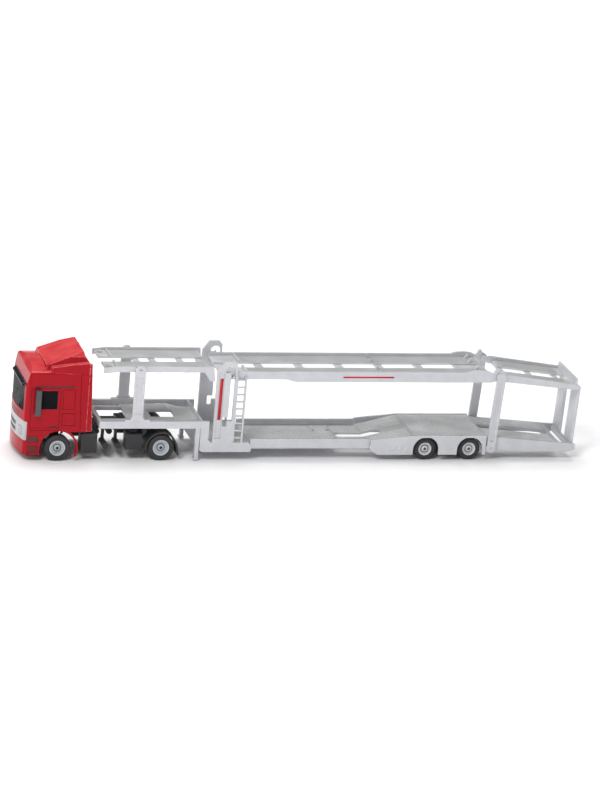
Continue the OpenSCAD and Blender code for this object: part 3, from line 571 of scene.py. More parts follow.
def joined(meshes):
    """Several meshes as one, keeping the edge marks."""
    bm = bmesh.new()
    layer = bm.faces.layers.float.new("edge")
    for mesh in meshes:
        part = bmesh.new()
        part.from_mesh(mesh)
        kept = part.faces.layers.float.get("edge") or part.faces.layers.float.new("edge")
        places = [bm.verts.new(v.co) for v in part.verts]
        for face in part.faces:
            made = bm.faces.new([places[v.index] for v in face.verts])
            made.smooth = face.smooth
            made[layer] = face[kept]
        part.free()
    result = bpy.data.meshes.new("joined")
    bm.to_mesh(result)
    bm.free()
    return result


def shaded(mesh, angle=32):
    """Smooth faces with sharp edges past an angle."""
    bm = bmesh.new()
    bm.from_mesh(mesh)
    for face in bm.faces:
        face.smooth = True
    for edge in bm.edges:
        edge.smooth = len(edge.link_faces) == 2 and edge.calc_face_angle(0.0) < math.radians(angle)
    bm.to_mesh(mesh)
    bm.free()
    return mesh


# ---- Geometry Nodes for what repeats ----

TREES = {}


def grid_of(tree, piece, length, width, count_x, count_y, pitch_x, pitch_y, rotation=None):
    """Instances of a piece in the middle of every cell of a grid."""
    grid = add(
        tree, "GeometryNodeMeshGrid", Size_X=sums(tree, "SUBTRACT", length, pitch_x), Size_Y=sums(tree, "SUBTRACT", width, pitch_y),
        Vertices_X=count_x, Vertices_Y=count_y,
    ).outputs[0]
    placed = add(tree, "GeometryNodeInstanceOnPoints", Points=grid, Instance=piece)
    if rotation is not None:
        tree.links.new(rotation, placed.inputs["Rotation"])
    return add(tree, "GeometryNodeRealizeInstances", Geometry=placed.outputs[0]).outputs[0]


def counted(tree, span, pitch):
    """How many whole cells fit in a span, and the width that fills it evenly."""
    count = sums(tree, "MAXIMUM", sums(tree, "ROUND", sums(tree, "DIVIDE", span, pitch)), 1.0)
    return count, sums(tree, "DIVIDE", span, count)


def pierced_strip():
    """A flat strip with rows of holes, standing on its lower face."""
    tree, given, out = new_group(
        "Pierced Strip", "GeometryNodeTree",
        [("Length", FLOAT, 0.1), ("Width", FLOAT, 0.015), ("Thickness", FLOAT, 0.0013), ("Pitch", FLOAT, 0.002),
         ("Hole", FLOAT, 0.001), ("Material", STUFF, None)],
        [("Geometry", GEOMETRY)],
    )
    count_x, pitch_x = counted(tree, given["Length"], given["Pitch"])
    count_y, pitch_y = counted(tree, given["Width"], given["Pitch"])
    square = add(tree, "GeometryNodeCurvePrimitiveQuadrilateral", Width=pitch_x, Height=pitch_y).outputs[0]
    hole = add(tree, "GeometryNodeCurvePrimitiveCircle", Resolution=8, Radius=sums(tree, "MULTIPLY", given["Hole"], 0.5)).outputs[0]
    both = tree.nodes.new("GeometryNodeJoinGeometry")
    tree.links.new(square, both.inputs[0])
    tree.links.new(hole, both.inputs[0])
    cell = add(tree, "GeometryNodeFillCurve", Curve=both.outputs[0]).outputs[0]
    sheet = grid_of(tree, cell, given["Length"], given["Width"], count_x, count_y, pitch_x, pitch_y)
    sheet = add(tree, "GeometryNodeMergeByDistance", Geometry=sheet, Distance=0.00001).outputs[0]
    raised = add(tree, "GeometryNodeExtrudeMesh", Mesh=sheet, Offset_Scale=given["Thickness"], Individual=False).outputs[0]
    under = add(tree, "GeometryNodeFlipFaces", Mesh=sheet).outputs[0]
    whole = tree.nodes.new("GeometryNodeJoinGeometry")
    tree.links.new(raised, whole.inputs[0])
    tree.links.new(under, whole.inputs[0])
    closed = add(tree, "GeometryNodeMergeByDistance", Geometry=whole.outputs[0], Distance=0.00001).outputs[0]
    solid = add(tree, "GeometryNodeRealizeInstances", Geometry=closed).outputs[0]
    painted = add(tree, "GeometryNodeSetMaterial", Geometry=solid, Material=given["Material"]).outputs[0]
    tree.links.new(painted, out.inputs[0])
    return tree


def tread_field():
    """Raised lozenges in alternate directions, as on chequer plate."""
    tree, given, out = new_group(
        "Tread Field", "GeometryNodeTree",
        [("Length", FLOAT, 0.1), ("Width", FLOAT, 0.015), ("Pitch", FLOAT, 0.0022), ("Height", FLOAT, 0.0002),
         ("Material", STUFF, None)],
        [("Geometry", GEOMETRY)],
    )
    count_x, pitch_x = counted(tree, given["Length"], given["Pitch"])
    count_y, pitch_y = counted(tree, given["Width"], given["Pitch"])
    stud = add(
        tree, "GeometryNodeMeshCone", {"fill_type": "NGON"}, Vertices=6, Radius_Top=sums(tree, "MULTIPLY", given["Pitch"], 0.16),
        Radius_Bottom=sums(tree, "MULTIPLY", given["Pitch"], 0.26), Depth=given["Height"],
    ).outputs[0]
    stud = add(tree, "GeometryNodeTransform", Geometry=stud, Scale=(1.75, 0.62, 1.0)).outputs[0]
    index = tree.nodes.new("GeometryNodeInputIndex").outputs[0]
    column = sums(tree, "FLOOR", sums(tree, "DIVIDE", sums(tree, "ADD", index, 0.5), count_y))
    row = sums(tree, "SUBTRACT", index, sums(tree, "MULTIPLY", column, count_y))
    odd = sums(tree, "FLOORED_MODULO", sums(tree, "ADD", column, row), 2.0)
    turn = sums(tree, "ADD", sums(tree, "MULTIPLY", odd, math.pi / 2), math.pi / 4)
    spin = add(tree, "FunctionNodeEulerToRotation", Euler=vector(tree, z=turn)).outputs[0]
    field = grid_of(tree, stud, given["Length"], given["Width"], count_x, count_y, pitch_x, pitch_y, spin)
    painted = add(tree, "GeometryNodeSetMaterial", Geometry=field, Material=given["Material"]).outputs[0]
    tree.links.new(painted, out.inputs[0])
    return tree


def ring_of_blocks():
    """Blocks standing round a wheel's axle, which lies along Z."""
    tree, given, out = new_group(
        "Ring of Blocks", "GeometryNodeTree",
        [("Count", NUMBER, 40), ("Radius", FLOAT, 0.009), ("Depth", FLOAT, 0.0005), ("Length", FLOAT, 0.001),
         ("Width", FLOAT, 0.0015), ("Offset", FLOAT, 0.0), ("Phase", FLOAT, 0.0), ("Skew", FLOAT, 0.0), ("Material", STUFF, None)],
        [("Geometry", GEOMETRY)],
    )
    ring = add(tree, "GeometryNodeMeshCircle", Vertices=given["Count"], Radius=given["Radius"]).outputs[0]
    block = add(tree, "GeometryNodeMeshCube", Size=vector(tree, given["Depth"], given["Length"], given["Width"])).outputs[0]
    block = add(tree, "GeometryNodeTransform", Geometry=block, Rotation=add(
        tree, "FunctionNodeEulerToRotation", Euler=vector(tree, x=given["Skew"])).outputs[0]).outputs[0]
    index = tree.nodes.new("GeometryNodeInputIndex").outputs[0]
    turn = sums(tree, "DIVIDE", sums(tree, "MULTIPLY", index, 2 * math.pi), given["Count"])
    spin = add(tree, "FunctionNodeEulerToRotation", Euler=vector(tree, z=turn)).outputs[0]
    placed = add(tree, "GeometryNodeInstanceOnPoints", Points=ring, Instance=block, Rotation=spin).outputs[0]
    solid = add(tree, "GeometryNodeRealizeInstances", Geometry=placed).outputs[0]
    moved = add(
        tree, "GeometryNodeTransform", Geometry=solid, Translation=vector(tree, z=given["Offset"]),
        Rotation=add(tree, "FunctionNodeEulerToRotation", Euler=vector(tree, z=given["Phase"])).outputs[0],
    ).outputs[0]
    painted = add(tree, "GeometryNodeSetMaterial", Geometry=moved, Material=given["Material"]).outputs[0]
    tree.links.new(painted, out.inputs[0])
    return tree


def ring_of_nuts():
    """Six-sided nuts standing in a ring on a wheel's face, which looks along Z."""
    tree, given, out = new_group(
        "Ring of Nuts", "GeometryNodeTree",
        [("Count", NUMBER, 10), ("Radius", FLOAT, 0.003), ("Nut Radius", FLOAT, 0.0004), ("Height", FLOAT, 0.0005),
         ("Material", STUFF, None)],
        [("Geometry", GEOMETRY)],
    )
    ring = add(tree, "GeometryNodeMeshCircle", Vertices=given["Count"], Radius=given["Radius"]).outputs[0]
    nut = add(
        tree, "GeometryNodeMeshCone", {"fill_type": "NGON"}, Vertices=6, Radius_Top=sums(tree, "MULTIPLY", given["Nut Radius"], 0.8),
        Radius_Bottom=given["Nut Radius"], Depth=given["Height"],
    ).outputs[0]
    placed = add(tree, "GeometryNodeInstanceOnPoints", Points=ring, Instance=nut).outputs[0]
    solid = add(tree, "GeometryNodeRealizeInstances", Geometry=placed).outputs[0]
    painted = add(tree, "GeometryNodeSetMaterial", Geometry=solid, Material=given["Material"]).outputs[0]
    tree.links.new(painted, out.inputs[0])
    return tree


def row_of_rivets():
    """Low round heads in a straight row along X, looking along Z."""
    tree, given, out = new_group(
        "Row of Rivets", "GeometryNodeTree",
        [("Count", NUMBER, 5), ("Step", FLOAT, 0.01), ("Head Radius", FLOAT, 0.0005), ("Height", FLOAT, 0.0002),
         ("Material", STUFF, None)],
        [("Geometry", GEOMETRY)],
    )
    line = add(tree, "GeometryNodeMeshLine", {"mode": "OFFSET"}, Count=given["Count"], Offset=vector(tree, x=given["Step"])).outputs[0]
    head = add(
        tree, "GeometryNodeMeshCone", {"fill_type": "NGON"}, Vertices=12, Radius_Top=sums(tree, "MULTIPLY", given["Head Radius"], 0.6),
        Radius_Bottom=given["Head Radius"], Depth=given["Height"],
    ).outputs[0]
    placed = add(tree, "GeometryNodeInstanceOnPoints", Points=line, Instance=head).outputs[0]
    solid = add(tree, "GeometryNodeRealizeInstances", Geometry=placed).outputs[0]
    painted = add(tree, "GeometryNodeSetMaterial", Geometry=solid, Material=given["Material"]).outputs[0]
    tree.links.new(painted, out.inputs[0])
    return tree


def rivet_row(x, step, count, y, z):
    """A row of rivets on a side wall, in millimetres."""
    sign = 1 if y > 0 else -1
    place = Matrix.Translation(at(x, y - sign * 0.02, z)) @ Matrix.Rotation(math.radians(-90 * sign), 4, "X")
    return grown(row_of_rivets, {
        "Count": count, "Step": step * MM, "Head Radius": 0.55 * MM, "Height": 0.22 * MM, "Material": finish("silver_plastic"),
    }, place)


def grown(maker, values, place=None):
    """A plain mesh from a tree with these inputs, moved to its place."""
    if maker.__name__ not in TREES:
        TREES[maker.__name__] = maker()
    tree = TREES[maker.__name__]
    work = bpy.data.objects.new("work", bpy.data.meshes.new("work"))
    bpy.context.scene.collection.objects.link(work)
    modifier = work.modifiers.new("Pattern", "NODES")
    modifier.node_group = tree
    names = {item.name: item.identifier for item in tree.interface.items_tree if item.in_out == "INPUT"}
    for key, value in values.items():
        modifier[names[key]] = value
    made = bpy.data.meshes.new_from_object(work.evaluated_get(bpy.context.evaluated_depsgraph_get()))
    work.modifiers.remove(modifier)
    bpy.data.objects.remove(work)
    if place is not None:
        made.transform(place)
    return made


def strip(x, y, z, turn=None, pitch=1.95, hole=1.15, slot="silver_plastic"):
    """A pierced strip between low and high values on each axis, in millimetres from the front or from a turned origin."""
    size = [high - low for low, high in (x, y, z)]
    centre = ((x[0] + x[1]) / 2, (y[0] + y[1]) / 2, z[0])
    place = turn @ Matrix.Translation(Vector(centre) * MM) if turn is not None else Matrix.Translation(at(*centre))
    return grown(pierced_strip, {
        "Length": size[0] * MM, "Width": size[1] * MM, "Thickness": size[2] * MM, "Pitch": pitch, "Hole": hole,
        "Material": finish(slot),
    }, place)


def treads(x, y, z, pitch, height, turn=None, slot="silver_plastic"):
    """Raised treads over a flat place, in millimetres."""
    centre = ((x[0] + x[1]) / 2, (y[0] + y[1]) / 2, z)
    place = turn @ Matrix.Translation(Vector(centre) * MM) if turn is not None else Matrix.Translation(at(*centre))
    return grown(tread_field, {
        "Length": (x[1] - x[0]) * MM, "Width": (y[1] - y[0]) * MM, "Pitch": pitch, "Height": height, "Material": finish(slot),
    }, place)


# ---- the operators, one for each group of like pieces ----


class TRANSPORTER_OT_cab(bpy.types.Operator):
    """Moulds the red cab with its windows, grille, lamps and mirrors"""

    bl_idname = "transporter.cab"
    bl_label = "Cab"

    def execute(self, context):
        m = context.scene.transporter_moulding
        for node, slot, width in (
            ("cab_shell", "red_paint", m.cab_round), ("side_fairings", "red_paint", m.frame_round),
            ("roof_deflector", "red_paint", m.cab_round), ("cab_glazing", "dark_glass", m.fine_round),
            ("bumper_band", "grey_plastic", m.frame_round), ("grille", "interior_plastic", m.fine_round),
            ("headlights", "clear_lamp", m.frame_round), ("mirrors", "grey_plastic", m.cab_round),
            ("cab_trim", "black_plastic", m.fine_round), ("cab_steps", "red_paint", m.fine_round),
            ("cab_interior", "interior_plastic", m.cab_round),
        ):
            look = {"mirrors": "mirror_grey", "cab_steps": "deep_red"}.get(node)
            moulded(node, slot, width, m.steps, look=look)
        visor = rounded(prism([(3.6, 57.4), (1.3, 55.2), (1.5, 53.9), (2.4, 53.9), (4.2, 56.9)], -19, 19), 0.3 * MM)
        show("sun_visor", visor, "dark_glass", "tractor")
        wipers = [
            rounded(prism([(1.0, 37.0), (1.3, 37.0), (2.3, 46.0), (2.0, 46.0)], y, y + 0.7), 0.08 * MM) for y in (-13, 1.5)
        ]
        show("wiper_arms", joined(wipers), "black_plastic", "tractor")
        return {"FINISHED"}


class TRANSPORTER_OT_chassis(bpy.types.Operator):
    """Moulds the tractor's black chassis, tanks, mudguards and coupling"""

    bl_idname = "transporter.chassis"
    bl_label = "Tractor Chassis"

    def execute(self, context):
        m = context.scene.transporter_moulding
        for node in ("tractor_frame", "side_tanks", "air_tanks", "battery_boxes", "drive_fenders", "fifth_wheel"):
            moulded(node, "black_plastic", m.frame_round, m.steps)
        return {"FINISHED"}


WHEELS = (
    # axle, body, rim radius, tyre width
    ("front", "front_axle", 5.7, 6.4),
    ("drive", "drive_axle", 5.9, 10.5),
    ("bogie_front", "bogie_front_axle", 4.9, 6.4),
    ("bogie_rear", "bogie_rear_axle", 4.9, 6.4),
)


class TRANSPORTER_OT_wheels(bpy.types.Operator):
    """Makes every axle's tyres with their tread, its rims with their nuts, and its shaft"""

    bl_idname = "transporter.wheels"
    bl_label = "Wheels"

    def execute(self, context):
        m, w = context.scene.transporter_moulding, context.scene.transporter_wheels
        for axle, body, rim_r, width in WHEELS:
            low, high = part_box(f"{axle}_tyres")
            radius = (high.z - low.z) / 2 / MM
            middle = Vector(((low.x + high.x) / 2, high.y - width / 2 * MM, (low.z + high.z) / 2))
            tyres, rims = [], []
            for sign in (-1, 1):
                centre = Vector((middle.x, sign * middle.y, middle.z))
                tyres.append(self.tyre(sign, centre, radius, rim_r, width, w))
                rims.append(self.rim(sign, centre, rim_r, width, w))
            show(f"{axle}_tyres_treaded", shaded(joined(tyres), 40), "tyre", body, [f"{axle}_tyres"])
            show(f"{axle}_rims_bolted", shaded(joined(rims)), "rim_plastic", body, [f"{axle}_rims"],
                 look="bright_rim" if axle.startswith("bogie") else None)
            # Painted shade: a dark ring laid in each rim's dish where its groove lies in shadow, and a dark disc at the
            # hub's centre.
            rings = []
            for sign in (-1, 1):
                centre = Vector((middle.x, sign * middle.y, middle.z))
                face = width / 2 - 1.98
                rings.append(lathed([(2.42, face - 0.1), (2.42, face + 0.32), (2.9, face + 0.22), (2.9, face - 0.1)], sign, centre))
                rings.append(lathed([(0.02, width / 2 - 1.0), (0.02, width / 2 - 0.7), (1.1, width / 2 - 0.74), (1.16, width / 2 - 1.0)], sign, centre))
            show(f"{axle}_hub_rings", shaded(joined(rings)), "black_plastic", body,
                 look="mirror_grey" if axle.startswith("bogie") else None)
            lips = []
            for sign in (-1, 1):
                centre = Vector((middle.x, sign * middle.y, middle.z))
                face, lip = width / 2 - 0.42, rim_r - 0.2
                lips.append(lathed([(lip - 0.5, face), (lip - 0.48, face + 0.08), (lip, face + 0.08), (lip + 0.02, face)], sign, centre))
            show(f"{axle}_rim_lips", shaded(joined(lips)), "rim_plastic", body, look="bright_rim")
            shaft = {"front": "front_axle_shaft", "drive": "drive_axle_shaft"}.get(axle, f"{axle}_shaft")
            moulded(shaft, "steel_pin", m.fine_round, m.steps)
        return {"FINISHED"}

    def tyre(self, sign, centre, radius, rim_r, width, w):
        half, depth = width / 2, w.tread_depth / MM
        r = radius - depth
        wall = radius - rim_r
        rings = [
            (rim_r, -half + 0.5), (rim_r + 0.25, -half + 0.12), (rim_r + 0.7, -half), (rim_r + 0.9, -half + 0.14),
            (rim_r + wall * 0.5, -half), (r - 0.9, -half + 0.02), (r - 0.3, -half + 0.35), (r, -half + 0.9),
            (r, half - 0.9), (r - 0.3, half - 0.35), (r - 0.9, half - 0.02), (rim_r + wall * 0.5, half),
            (rim_r + 0.9, half - 0.14), (rim_r + 0.7, half), (rim_r + 0.25, half - 0.12), (rim_r, half - 0.5),
        ]
        parts = [lathed(rings, sign, centre)]
        rows = 3 if width < 8 else 5
        step = (width - 1.5) / rows
        pitch = 2 * math.pi * radius / w.tread_blocks
        stand = Matrix.Translation(centre) @ Matrix.Rotation(math.radians(90), 4, "X")
        for row in range(rows):
            edge = row in (0, rows - 1)
            parts.append(grown(ring_of_blocks, {
                "Count": w.tread_blocks, "Radius": (radius - depth / 2 - 0.07) * MM, "Depth": (depth + 0.1) * MM,
                "Length": pitch * 0.66 * MM, "Width": step * 0.78 * MM, "Offset": (-(width - 1.5) / 2 + step * (row + 0.5)) * MM,
                "Phase": (row % 2) * math.pi / w.tread_blocks, "Skew": 0.0 if edge else sign * 0.35, "Material": finish("tyre"),
            }, stand))
        return joined(parts)

    def rim(self, sign, centre, rim_r, width, w):
        half, r = width / 2, rim_r - 0.05
        rings = [
            (0.82, -half + 1), (r, -half + 1), (r, half - 0.55), (r - 0.18, half - 0.4), (r - 0.6, half - 0.4),
            (r - 0.75, half - 0.6), (r - 1.05, half - 1.75), (r - 1.5, half - 2.0), (2.9, half - 1.95), (2.35, half - 1.7),
            (2.0, half - 0.95), (1.75, half - 0.65), (1.3, half - 0.6), (1.2, half - 0.85), (0.82, half - 0.85),
        ]
        parts = [lathed(rings, sign, centre)]
        face = Matrix.Translation(centre + Vector((0, sign * (half - 1.78) * MM, 0)))
        face = face @ Matrix.Rotation(math.radians(-90 * sign), 4, "X")
        parts.append(grown(ring_of_nuts, {
            "Count": w.nuts, "Radius": (2.9 + (r - 1.5 - 2.9) / 2) * MM, "Nut Radius": 0.33 * MM, "Height": 0.5 * MM,
            "Material": finish("rim_plastic"),
        }, face @ Matrix.Translation((0, 0, -0.2 * MM))))
        return joined(parts)


class TRANSPORTER_OT_trailer(bpy.types.Operator):
    """Moulds the trailer's frame, towers, ladders, skirts and lower floor"""

    bl_idname = "transporter.trailer"
    bl_label = "Trailer Frame"

    def execute(self, context):
        m, d = context.scene.transporter_moulding, context.scene.transporter_decks
        for node in (
            "kingpin", "gooseneck", "landing_legs", "towers", "plinth", "low_frame", "low_floor", "bogie_deck", "side_skirts",
            "front_posts", "rear_posts", "rear_frame",
        ):
            moulded(node, "silver_plastic", m.frame_round, m.steps)
        for node in ("ladders", "lower_rear_tracks", "wheel_stops"):
            moulded(node, "silver_plastic", m.fine_round, m.steps)
        moulded("bogie_beam", "black_plastic", m.frame_round, m.steps)
        spans = (((93, 98.3), (-20.6, 20.6)), ((98.3, 114.6), (-20.6, -8.2)), ((98.3, 114.6), (8.2, 20.6)))
        floor = box_mesh([((x0, y0, 24), (x1, y1, 29)) for (x0, x1), (y0, y1) in spans])
        moulded("front_platform", "silver_plastic", m.frame_round, m.steps, floor)
        pierced = [strip(x, y, (25.7, 27.5), pitch=1.7 * MM, hole=0.85 * MM) for x, y in spans]
        show("platform_floor_pierced", joined(pierced), "silver_plastic", "trailer")
        rising = Matrix.Translation(at(258.4, 0, 11.2)) @ Matrix.Rotation(-math.atan2(7.2, 32), 4, "Y")
        falling = Matrix.Translation(at(345.9, 0, 18.4)) @ Matrix.Rotation(math.atan2(5.6, 55.9), 4, "Y")
        plates = [
            treads((171, 237), (-21, 21), 11.18, d.stud_pitch, d.stud_height),
            treads((292, 344.5), (-23.4, 23.4), 18.38, d.stud_pitch, d.stud_height),
        ]
        for y in ((-21, -5.2), (5.2, 21)):
            plates.append(treads((238.5, 257), y, 11.18, d.stud_pitch, d.stud_height))
            plates.append(treads((1.5, 31.5), y, -0.02, d.stud_pitch, d.stud_height, rising))
            low, high = sorted((math.copysign(5.7, y[0]), math.copysign(20.8, y[0])))
            plates.append(treads((1.5, 54), (low, high), -0.02, d.stud_pitch, d.stud_height, falling))
        show("floor_treads", joined(plates), "silver_plastic", "trailer", look="stud_silver")
        stripes = [plate((142.9, y, 31), (145.2, y + 0.1, 62)) for y in (-25.06, 24.96)]
        show("tower_stripes", joined(stripes), "red_paint", "trailer", look="stripe_red")
        rivets = [
            rivet_row(x, step, count, sign * y, z)
            for x, step, count, y, z in ((176, 18.5, 5, 22.9, 12.4), (63, 13.5, 2, 25.5, 27.4), (97, 13.0, 2, 25.5, 27.4), (264, 12.0, 2, 25.5, 13.6))
            for sign in (-1, 1)
        ]
        show("frame_rivets", joined(rivets), "silver_plastic", "trailer")
        caps = [
            lathed([(0.02, 0), (0.02, 0.35), (0.9, 0.3), (1.25, 0.12), (1.3, 0)], sign, at(84.7, sign * 25.5, 67.4), 32)
            for sign in (-1, 1)
        ]
        show("front_pin_caps", shaded(joined(caps)), "steel_pin", "trailer")
        return {"FINISHED"}


class TRANSPORTER_OT_front_deck(bpy.types.Operator):
    """Makes the tilting front deck with its finely pierced tracks"""

    bl_idname = "transporter.front_deck"
    bl_label = "Front Deck"

    def execute(self, context):
        m, d = context.scene.transporter_moulding, context.scene.transporter_decks
        boxes = [((71, side[0], 66.7), (134, side[1], 68.3)) for side in ((-21.0, -6.2), (6.2, 21.0))]
        moulded("front_upper_deck", "silver_plastic", m.fine_round, m.steps, box_mesh(boxes))
        strips = [
            strip((70.9, 134.1), side, (66.85, 68.15), pitch=d.mesh_pitch, hole=d.mesh_width)
            for side in ((-21.1, -6.1), (6.1, 21.1))
        ]
        show("front_deck_tracks", joined(strips), "silver_plastic", "front_deck")
        return {"FINISHED"}


class TRANSPORTER_OT_main_deck(bpy.types.Operator):
    """Makes the long main deck with its pierced tracks and its pins"""

    bl_idname = "transporter.main_deck"
    bl_label = "Main Deck"

    def execute(self, context):
        m, d = context.scene.transporter_moulding, context.scene.transporter_decks
        sides = ((-21.0, -6.2), (6.2, 21.0))
        boxes = [((166, low, 62.85), (344.6, high, 64.45)) for low, high in sides]
        moulded("main_upper_deck", "silver_plastic", m.fine_round, m.steps, box_mesh(boxes))
        strips = [
            strip((165.9, 344.7), (low - 0.1, high + 0.1), (62.86, 64.25), pitch=d.hole_pitch, hole=d.hole_width)
            for low, high in sides
        ]
        show("main_deck_tracks", joined(strips), "silver_plastic", "main_deck")
        stripes = [plate((234, y, 62.0), (272, y + 0.1, 63.2)) for y in (-22.96, 22.86)]
        show("deck_stripes", joined(stripes), "red_paint", "main_deck", look="stripe_red")
        chocks = [
            rounded(prism([(x, 64.2), (x + lean * 3.4, 64.2), (x + lean * 0.7, 67.0), (x, 67.0)], y, y + 1.6), 0.15 * MM)
            for x, lean in ((262, 1), (340, -1)) for y in (-19.8, -9.6, 8.0, 18.2)
        ]
        show("wheel_chocks", joined(chocks), "silver_plastic", "main_deck")
        moulded("deck_pins", "steel_pin", m.fine_round, m.steps)
        return {"FINISHED"}


class TRANSPORTER_OT_rear_deck(bpy.types.Operator):
    """Makes the sloping rear deck with its pierced tracks and its end flap"""

    bl_idname = "transporter.rear_deck"
    bl_label = "Rear Deck"

    def execute(self, context):
        m, d = context.scene.transporter_moulding, context.scene.transporter_decks
        slope = Matrix.Translation(at(352.8, 0, 63)) @ Matrix.Rotation(math.radians(7), 4, "Y")
        sides = ((-21.2, -6.2), (6.2, 21.2))
        cutter = bpy.data.meshes.new("cutter")
        bm = bmesh.new()
        for low, high in sides:
            place = Matrix.Translation(Vector((32, (low + high) / 2, -0.7)) * MM) @ Matrix.Diagonal((44 * MM, (high - low) * MM, 1.6 * MM, 1))
            bmesh.ops.create_cube(bm, size=1.0, matrix=slope @ place)
        bm.to_mesh(cutter)
        bm.free()
        moulded("rear_upper_deck", "silver_plastic", m.fine_round, m.steps, cutter)
        strips = [
            strip((9.9, 54.1), (low - 0.1, high + 0.1), (-1.35, -0.05), slope, pitch=d.hole_pitch, hole=d.hole_width)
            for low, high in sides
        ]
        show("rear_deck_tracks", joined(strips), "silver_plastic", "rear_deck")
        moulded("end_flap", "silver_plastic", m.fine_round, m.steps)
        return {"FINISHED"}


class TRANSPORTER_OT_ramps(bpy.types.Operator):
    """Makes the loading ramps with raised treads and their pin"""

    bl_idname = "transporter.ramps"
    bl_label = "Loading Ramps"

    def execute(self, context):
        m, d = context.scene.transporter_moulding, context.scene.transporter_decks
        moulded("loading_ramps", "silver_plastic", m.fine_round, m.steps)
        moulded("ramp_pin", "steel_pin", m.fine_round, m.steps)
        lean = Matrix.Translation(at(412.8, 0, 9.2)) @ Matrix.Rotation(math.radians(2), 4, "Y")
        front = lean @ Matrix.Translation((-0.6 * MM, 0, 0)) @ Matrix.Rotation(math.radians(-90), 4, "Y")
        fields = [treads((4, 44.5), side, -0.02, d.stud_pitch, d.stud_height, front) for side in ((-20.2, -6.7), (6.7, 20.2))]
        show("ramp_treads", joined(fields), "silver_plastic", "ramps", look="stud_silver")
        return {"FINISHED"}


# How bright the room is for soft light, and where it is mirrored in gloss
ROOM_LIGHT = 0.4
ROOM_MIRRORED = 0.12


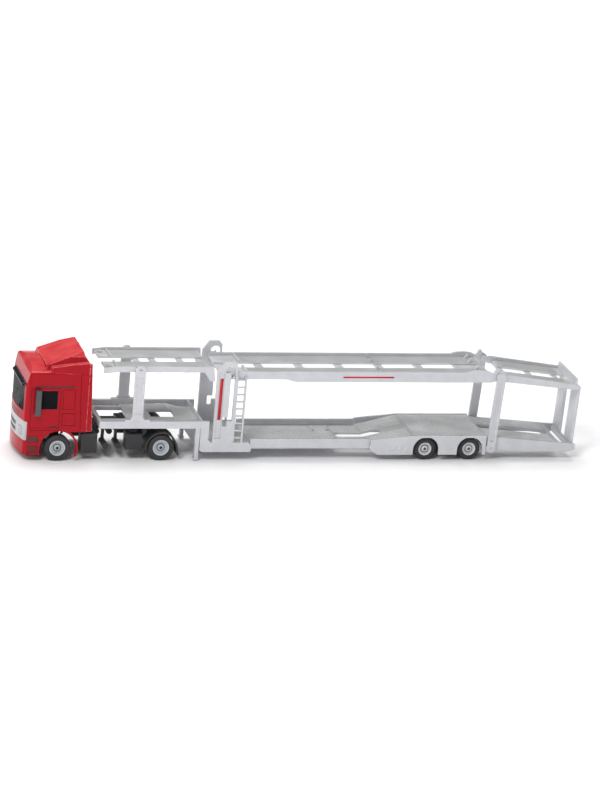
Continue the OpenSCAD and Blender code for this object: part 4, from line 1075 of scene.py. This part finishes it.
class TRANSPORTER_OT_stage(bpy.types.Operator):
    """Sets the pale floor, the soft lights and the camera"""

    bl_idname = "transporter.stage"
    bl_label = "Stage"

    def execute(self, context):
        scene = context.scene
        scene.view_settings.view_transform = "Standard"
        floor = bpy.data.meshes.new("floor")
        reach = 30.0
        floor.from_pydata([(-reach, -reach, 0), (reach, -reach, 0), (reach, reach, 0), (-reach, reach, 0)], [], [(0, 1, 2, 3)])
        ground = bpy.data.objects.new("floor", floor)
        scene.collection.objects.link(ground)
        pale = finish_material("Pale Floor", (0.94, 0.94, 0.945), 0.8, mottle=0.006, bump=0.0)
        floor.materials.append(self.brighter_far_off(pale))
        scene.world = self.room()
        for name, place, size, power in (
            ("key_light", (-0.75, -0.85, 1.25), 0.6, 13.0),
            ("top_light", (0.1, 0.45, 1.5), 1.0, 15.0),
            ("rim_light", (-1.3, 0.7, 0.9), 0.8, 5.0),
        ):
            lamp = bpy.data.lights.new(name, "AREA")
            lamp.shape, lamp.size, lamp.energy = "DISK", size, power
            light = bpy.data.objects.new(name, lamp)
            light.location = place
            light.rotation_mode = "QUATERNION"
            light.rotation_quaternion = (Vector((0, 0, 0.03)) - Vector(place)).to_track_quat("-Z", "Y")
            scene.collection.objects.link(light)
        azimuth, elevation, roll, distance = math.radians(-16.05), math.radians(18.0), math.radians(5.2), 2.65
        back = Vector((
            math.sin(azimuth) * math.cos(elevation), -math.cos(azimuth) * math.cos(elevation), math.sin(elevation),
        ))
        data = bpy.data.cameras.new("camera")
        data.lens, data.clip_end = 165.1, 100.0
        camera = bpy.data.objects.new("camera", data)
        turn = (-back).to_track_quat("-Z", "Y") @ Matrix.Rotation(roll, 3, "Z").to_quaternion()
        camera.rotation_mode = "QUATERNION"
        camera.rotation_quaternion = turn
        aim = Vector((0.0, 0.0, 0.040))
        camera.location = aim + back * distance + turn @ Vector((0.0017, -0.0022, 0.0))
        scene.collection.objects.link(camera)
        scene.camera = camera
        return {"FINISHED"}

    def brighter_far_off(self, pale):
        """Keeps the floor as pale far from the object as it is near it."""
        tree = pale.node_tree
        place = add(tree, "ShaderNodeTexCoord").outputs["Object"]
        reach = add(tree, "ShaderNodeVectorMath", {"operation": "LENGTH"}, i0=place).outputs["Value"]
        glow = add(
            tree, "ShaderNodeMapRange", {"interpolation_type": "SMOOTHSTEP"}, Value=reach, From_Min=0.28, From_Max=1.3, To_Max=0.8,
        ).outputs[0]
        tone = add(tree, "ShaderNodeCombineColor", Red=glow, Green=glow, Blue=glow).outputs[0]
        shader = tree.nodes["Principled BSDF"]
        tree.links.new(tone, shader.inputs["Emission Color"])
        shader.inputs["Emission Strength"].default_value = 1.0
        return pale

    def room(self):
        """A pale room: white behind the object, dimmer where a glossy surface mirrors it."""
        world = bpy.data.worlds.new("Pale Room")
        world.use_nodes = True
        tree = world.node_tree
        sky = tree.nodes["Background"]
        path = add(tree, "ShaderNodeLightPath").outputs
        lit = sums(tree, "MULTIPLY_ADD", path["Is Camera Ray"], 1.0 - ROOM_LIGHT, ROOM_LIGHT)
        tree.links.new(sums(tree, "MULTIPLY_ADD", path["Is Glossy Ray"], ROOM_MIRRORED - ROOM_LIGHT, lit), sky.inputs["Strength"])
        sky.inputs["Color"].default_value = (1.0, 1.0, 1.0, 1.0)
        return world


OPERATORS = (
    TRANSPORTER_OT_cab, TRANSPORTER_OT_chassis, TRANSPORTER_OT_wheels, TRANSPORTER_OT_trailer, TRANSPORTER_OT_front_deck,
    TRANSPORTER_OT_main_deck, TRANSPORTER_OT_rear_deck, TRANSPORTER_OT_ramps, TRANSPORTER_OT_stage,
)
GROUPS = (
    ("transporter_moulding", MouldingSettings), ("transporter_decks", DeckSettings), ("transporter_wheels", WheelSettings),
    ("transporter_colours", ColourSettings),
)


class TRANSPORTER_PT_panel(bpy.types.Panel):
    """The transporter's sizes, colours and pieces"""

    bl_idname = "TRANSPORTER_PT_panel"
    bl_label = "Toy Car Transporter"
    bl_space_type = "VIEW_3D"
    bl_region_type = "UI"
    bl_category = "Transporter"

    def draw(self, context):
        for name, group in GROUPS:
            column = self.layout.column(align=True)
            for key in group.__annotations__:
                column.prop(getattr(context.scene, name), key)
        column = self.layout.column(align=True)
        for operator in OPERATORS:
            column.operator(operator.bl_idname)


def register():
    for _, group in GROUPS:
        bpy.utils.register_class(group)
    for name, group in GROUPS:
        setattr(bpy.types.Scene, name, PointerProperty(type=group))
    for cls in (*OPERATORS, TRANSPORTER_PT_panel):
        bpy.utils.register_class(cls)


def unregister():
    for cls in reversed((*OPERATORS, TRANSPORTER_PT_panel)):
        bpy.utils.unregister_class(cls)
    for name, _ in GROUPS:
        delattr(bpy.types.Scene, name)
    for _, group in reversed(GROUPS):
        bpy.utils.unregister_class(group)


def main():
    register()
    for operator in OPERATORS:
        getattr(bpy.ops.transporter, operator.bl_idname.split(".")[1])()


if __name__ == "__main__":
    main()
